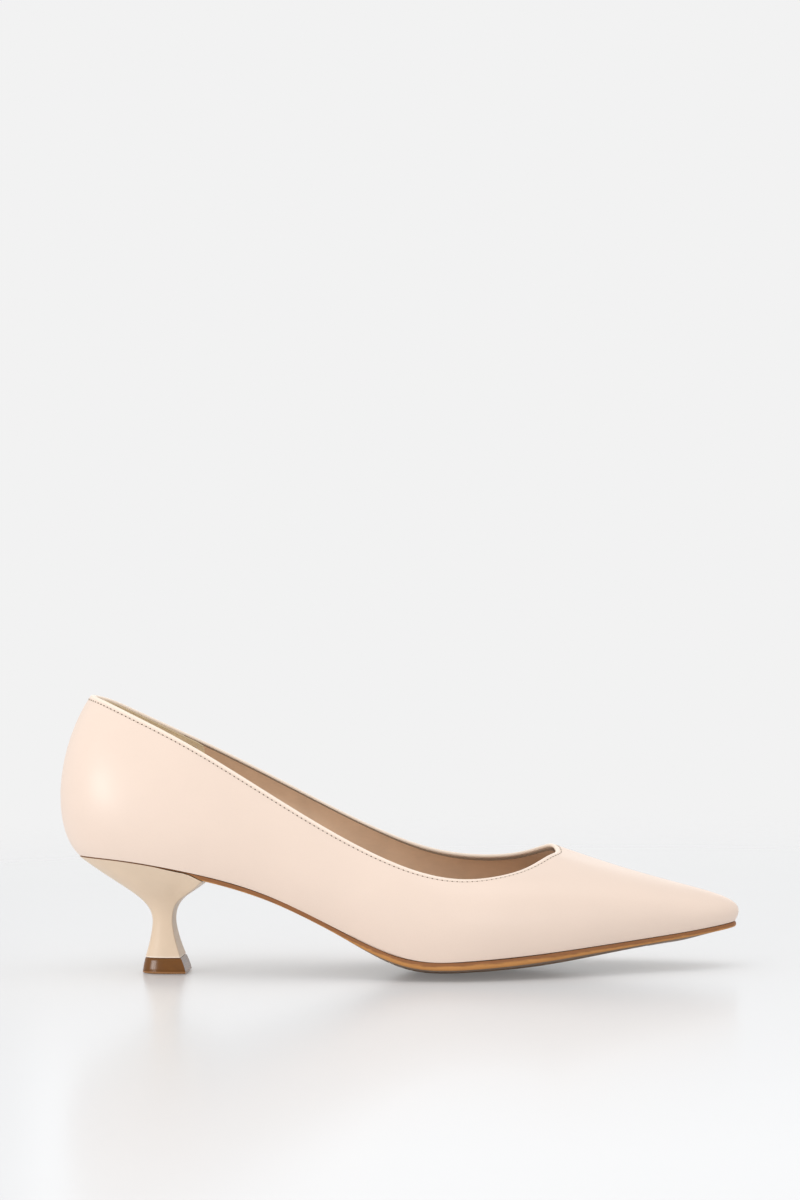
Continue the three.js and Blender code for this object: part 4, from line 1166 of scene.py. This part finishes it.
def ring_between(low, high, share):
    """Heights go evenly from low to high, and the outline flares like a bell."""
    bell = share**1.5
    return (lerp(low[0], high[0], share), *(lerp(a, b, bell) for a, b in zip(low[1:], high[1:])))


def pole(z):
    return np.broadcast_to((STEM_X, 0, z), (len(HEEL_STOPS), 3))


OUTER_CORNER, INNER_CORNER = (
    crossing(0, end, lambda v: feather(v)[..., 0] < BREAST_X) for end in (TOE, -TOE))


def lip_height(x):
    under = SOLE_TOP - sole_thickness(x) - LIP_GAP
    return lerp(SOLE_TOP - SOLE_SEAT - SEAT_GAP, under, smooth(*SEAT_TO_LIP, x))


def heel_rim(inset, drop=0.0):
    """The top of the heel, along the feather line and straight across at the breast."""
    s = HEEL_STOPS
    v = np.where(s < 0, -s * OUTER_CORNER, np.clip(s, 0, 1) * INNER_CORNER)
    x, y, _ = (feather(v) - outward(v) * inset).T
    x = np.where(ON_BREAST, BREAST_X - inset, x)
    outer, inner = edges(x)
    y = np.where(ON_BREAST, lerp(inner - inset, outer + inset, ACROSS_BREAST), y)
    return on_bottom(x, y, lip_height(np.where(ON_BREAST, BREAST_X, x)) - drop)


def turned(name, rings, finish):
    """A piece from rings of points, each with a rim mark. Its sharp edges are rounded a little."""
    points = np.array([ring for ring, _ in rings])
    points = np.concatenate([points, points[:, :1]], 1)
    marks = np.array([mark for _, mark in rings])[:, None]
    piece = draped(name, points, {"rim": marks}, [finish])
    bevel = piece.modifiers.new("Edge", "BEVEL")
    bevel.width, bevel.segments = bpy.context.scene.court_shoe_sizes.heel_edge, 3
    bevel.limit_method, bevel.angle_limit = "ANGLE", np.radians(42)
    select_only(piece)
    bpy.ops.object.modifier_apply(modifier=bevel.name)
    bpy.ops.object.shade_smooth_by_angle(angle=np.radians(38))
    return piece


class COURT_SHOE_OT_heel(bpy.types.Operator):
    """Make the heel: it flares from its waist to the seat of the shoe, and is flat in front"""

    bl_idname = "court_shoe.heel"
    bl_label = "Heel"

    def execute(self, context):
        rings = []
        edge = heel_rim(CAP_INSET, CAP_SINK)
        for share in CAP_SHARES:
            x = lerp(edge[:, 0], STEM_TOP_X, share)
            rings.append((on_bottom(x, edge[:, 1] * (1 - share), lip_height(x) - CAP_SINK), 0))
        top, waist = heel_rim(0), section(WAIST_RING)
        out = lerp(top, waist + (0, 0, UPPER_HANDLE), COME_IN) - (0, 0, HANG)
        down = waist + (0, 0, LOWER_HANDLE)
        rings += [(bezier(top, out, down, waist, t), 0) for t in np.linspace(0, 1, 34)[:-1]]
        rings += [(section(ring_between(WAIST_RING, JOIN_RING, share)), mark)
                  for share, mark in STEM_RINGS]
        rings += [(pole(JOIN_RING[0]), 1)]
        ride(turned("heel", rings, heel_lacquer()), "heel_block", "heel_block")
        return {"FINISHED"}


class COURT_SHOE_OT_heel_tip(bpy.types.Operator):
    """Make the glossy tip under the heel; its moulding line at the foot is painted lighter as a
    highlight
    """

    bl_idname = "court_shoe.heel_tip"
    bl_label = "Heel Tip"

    def execute(self, context):
        rings = [(section(ring_between(GROUND_RING, JOIN_RING, z / JOIN_RING[0]), inset), mark)
                 for z, inset, mark in TIP_RINGS]
        rings = [(pole(TIP_TOP), 0), *rings, (pole(0.0), 0)]
        ride(turned("heel_tip", rings, tip_plastic()), "heel_tip", "heel_tip")
        return {"FINISHED"}


class COURT_SHOE_OT_inner_pieces(bpy.types.Operator):
    """Give the pieces inside the shoe their finishes: stiffeners, foam, boards and steel"""

    bl_idname = "court_shoe.inner_pieces"
    bl_label = "Inner Pieces"

    def execute(self, context):
        stiffener = hidden_finish("Pressed stiffener", (0.72, 0.68, 0.58), 0.7, 0.9, 0.05, 0.6)
        foam = hidden_finish("Latex foam", (0.8, 0.74, 0.6), 0.85, 0.98, 0.12, 0.5)
        board = hidden_finish("Fibreboard", (0.48, 0.28, 0.11), 0.75, 0.92, 0.08, 0.7)
        steel = hidden_finish("Bright steel", (0.52, 0.54, 0.56), 0.25, 0.42, 0.01, 0.9,
                              Metallic=1.0)
        finishes = {"back_seam_tape": stiffener, "heel_counter": stiffener, "toe_puff": stiffener,
                    "heel_pad": foam, "ball_pad": foam, "forefoot_filler": foam,
                    "insole_board": board, "shank_board": board}
        for name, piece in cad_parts.items():
            if not piece.hide_render:
                piece.material_slots[0].material = finishes.get(name, steel)
        return {"FINISHED"}


# ---------- The stage ----------
SURROUNDINGS = (0.888, 0.888, 0.888, 1)
FLOOR_RADIUS, FLOOR_DROP = 1.6, 0.0003
FLOOR_SHOWN, FLOOR_GONE = 0.28, 1.0  # metres from the middle, where its fading starts and ends
FLOOR_STRENGTH = 0.86  # how opaque it is before that
# Name, place, what it faces, width and height, and watts.
LIGHTS = (("Heel softbox", (-0.92, -0.7, 0.14), (-0.08, 0, 0.06), (0.34, 0.26), 3.2),
          ("Overhead softbox", (0.1, -0.25, 1.1), (0, 0, 0.04), (1.2, 0.8), 2.6),
          ("Front fill", (0.5, -1.3, 0.35), (0, 0, 0.04), (0.9, 0.5), 1.7),
          ("Back fill", (0.15, 1.1, 0.5), (0, 0, 0), (1.2, 0.5), 1.3))
CAMERA_PLACE = (0.07285, -0.9976, 0.130)
CAMERA_TURN, CAMERA_TILT = np.radians(4), np.radians(1.0)
CAMERA_ROLL = 0.0175  # its tangent
LENS, SENSOR = 75, 36  # mm


def add_to_scene(name, data):
    made = bpy.data.objects.new(name, data)
    bpy.context.scene.collection.objects.link(made)
    return made


class COURT_SHOE_OT_stage(bpy.types.Operator):
    """Set up the pale floor, the soft lights, the plain surroundings and the camera"""

    bl_idname = "court_shoe.stage"
    bl_label = "Stage"

    def execute(self, context):
        scene = context.scene
        scene.view_settings.view_transform = "Standard"
        scene.view_settings.look = "None"
        scene.world = bpy.data.worlds.new("Plain surroundings")
        scene.world.use_nodes = True
        background = scene.world.node_tree.nodes["Background"].inputs
        background["Color"].default_value, background["Strength"].default_value = SURROUNDINGS, 1.0

        bpy.ops.object.select_all(action="DESELECT")
        bpy.ops.mesh.primitive_circle_add(vertices=96, radius=FLOOR_RADIUS, fill_type="NGON",
                                          location=(0, 0, -FLOOR_DROP))
        floor = bpy.context.object
        floor.name = "floor"
        bpy.ops.object.transform_apply(location=True, rotation=True, scale=True)
        made = Finish("Pale floor", Roughness=0.2, Specular_IOR_Level=0.1)
        away = node(made.tree, "VectorMath", {0: made.position}, operation="LENGTH")
        made.feed("Alpha", ramp(made.tree, away.outputs["Value"], FLOOR_SHOWN, FLOOR_GONE,
                                FLOOR_STRENGTH, 0.0, kind="SMOOTHSTEP"))
        made.colour(made.tone(colour_of("floor"), 0.004, patch=60))
        floor.data.materials.append(made.material)

        for name, place, aim, size, power in LIGHTS:
            light = bpy.data.lights.new(name, "AREA")
            light.shape, light.energy = "RECTANGLE", power
            light.size, light.size_y = size
            lamp = add_to_scene(name, light)
            lamp.location = place
            lamp.rotation_euler = (Vector(aim) - lamp.location).to_track_quat("-Z", "Y").to_euler()

        lens = bpy.data.cameras.new("Camera")
        lens.lens, lens.sensor_width = LENS, SENSOR
        scene.camera = add_to_scene("Camera", lens)
        level = np.cos(CAMERA_TILT)
        forward = Vector((-np.sin(CAMERA_TURN) * level, np.cos(CAMERA_TURN) * level,
                          np.sin(CAMERA_TILT)))
        right = Vector((np.cos(CAMERA_TURN), np.sin(CAMERA_TURN), 0))
        up = right.cross(forward)
        axes = Matrix(((right - up * CAMERA_ROLL).normalized(),
                       (up + right * CAMERA_ROLL).normalized(), -forward))
        turn = axes.transposed().to_4x4()
        scene.camera.matrix_world = Matrix.Translation(CAMERA_PLACE) @ turn
        return {"FINISHED"}


# ---------- The add-on ----------
OPERATORS = (COURT_SHOE_OT_upper, COURT_SHOE_OT_topline_stitches, COURT_SHOE_OT_linings,
             COURT_SHOE_OT_sock, COURT_SHOE_OT_outsole, COURT_SHOE_OT_tread, COURT_SHOE_OT_heel,
             COURT_SHOE_OT_heel_tip, COURT_SHOE_OT_inner_pieces, COURT_SHOE_OT_stage)


class COURT_SHOE_PT_panel(bpy.types.Panel):
    bl_label = "Court Shoe"
    bl_idname = "COURT_SHOE_PT_panel"
    bl_space_type = "VIEW_3D"
    bl_region_type = "UI"
    bl_category = "Court Shoe"

    def draw(self, context):
        scene = context.scene
        for settings in (scene.court_shoe_sizes, scene.court_shoe_colours):
            box = self.layout.box()
            for name in type(settings).__annotations__:
                box.prop(settings, name)
        for operator in OPERATORS:
            self.layout.operator(operator.bl_idname)


CLASSES = (ShoeSizes, ShoeColours, *OPERATORS, COURT_SHOE_PT_panel)


def register():
    for kind in CLASSES:
        bpy.utils.register_class(kind)
    bpy.types.Scene.court_shoe_sizes = bpy.props.PointerProperty(type=ShoeSizes)
    bpy.types.Scene.court_shoe_colours = bpy.props.PointerProperty(type=ShoeColours)


def unregister():
    del bpy.types.Scene.court_shoe_colours
    del bpy.types.Scene.court_shoe_sizes
    for kind in reversed(CLASSES):
        bpy.utils.unregister_class(kind)


def main():
    register()
    for operator in OPERATORS:
        group, name = operator.bl_idname.split(".")
        getattr(getattr(bpy.ops, group), name)()


if __name__ == "__main__":
    main()
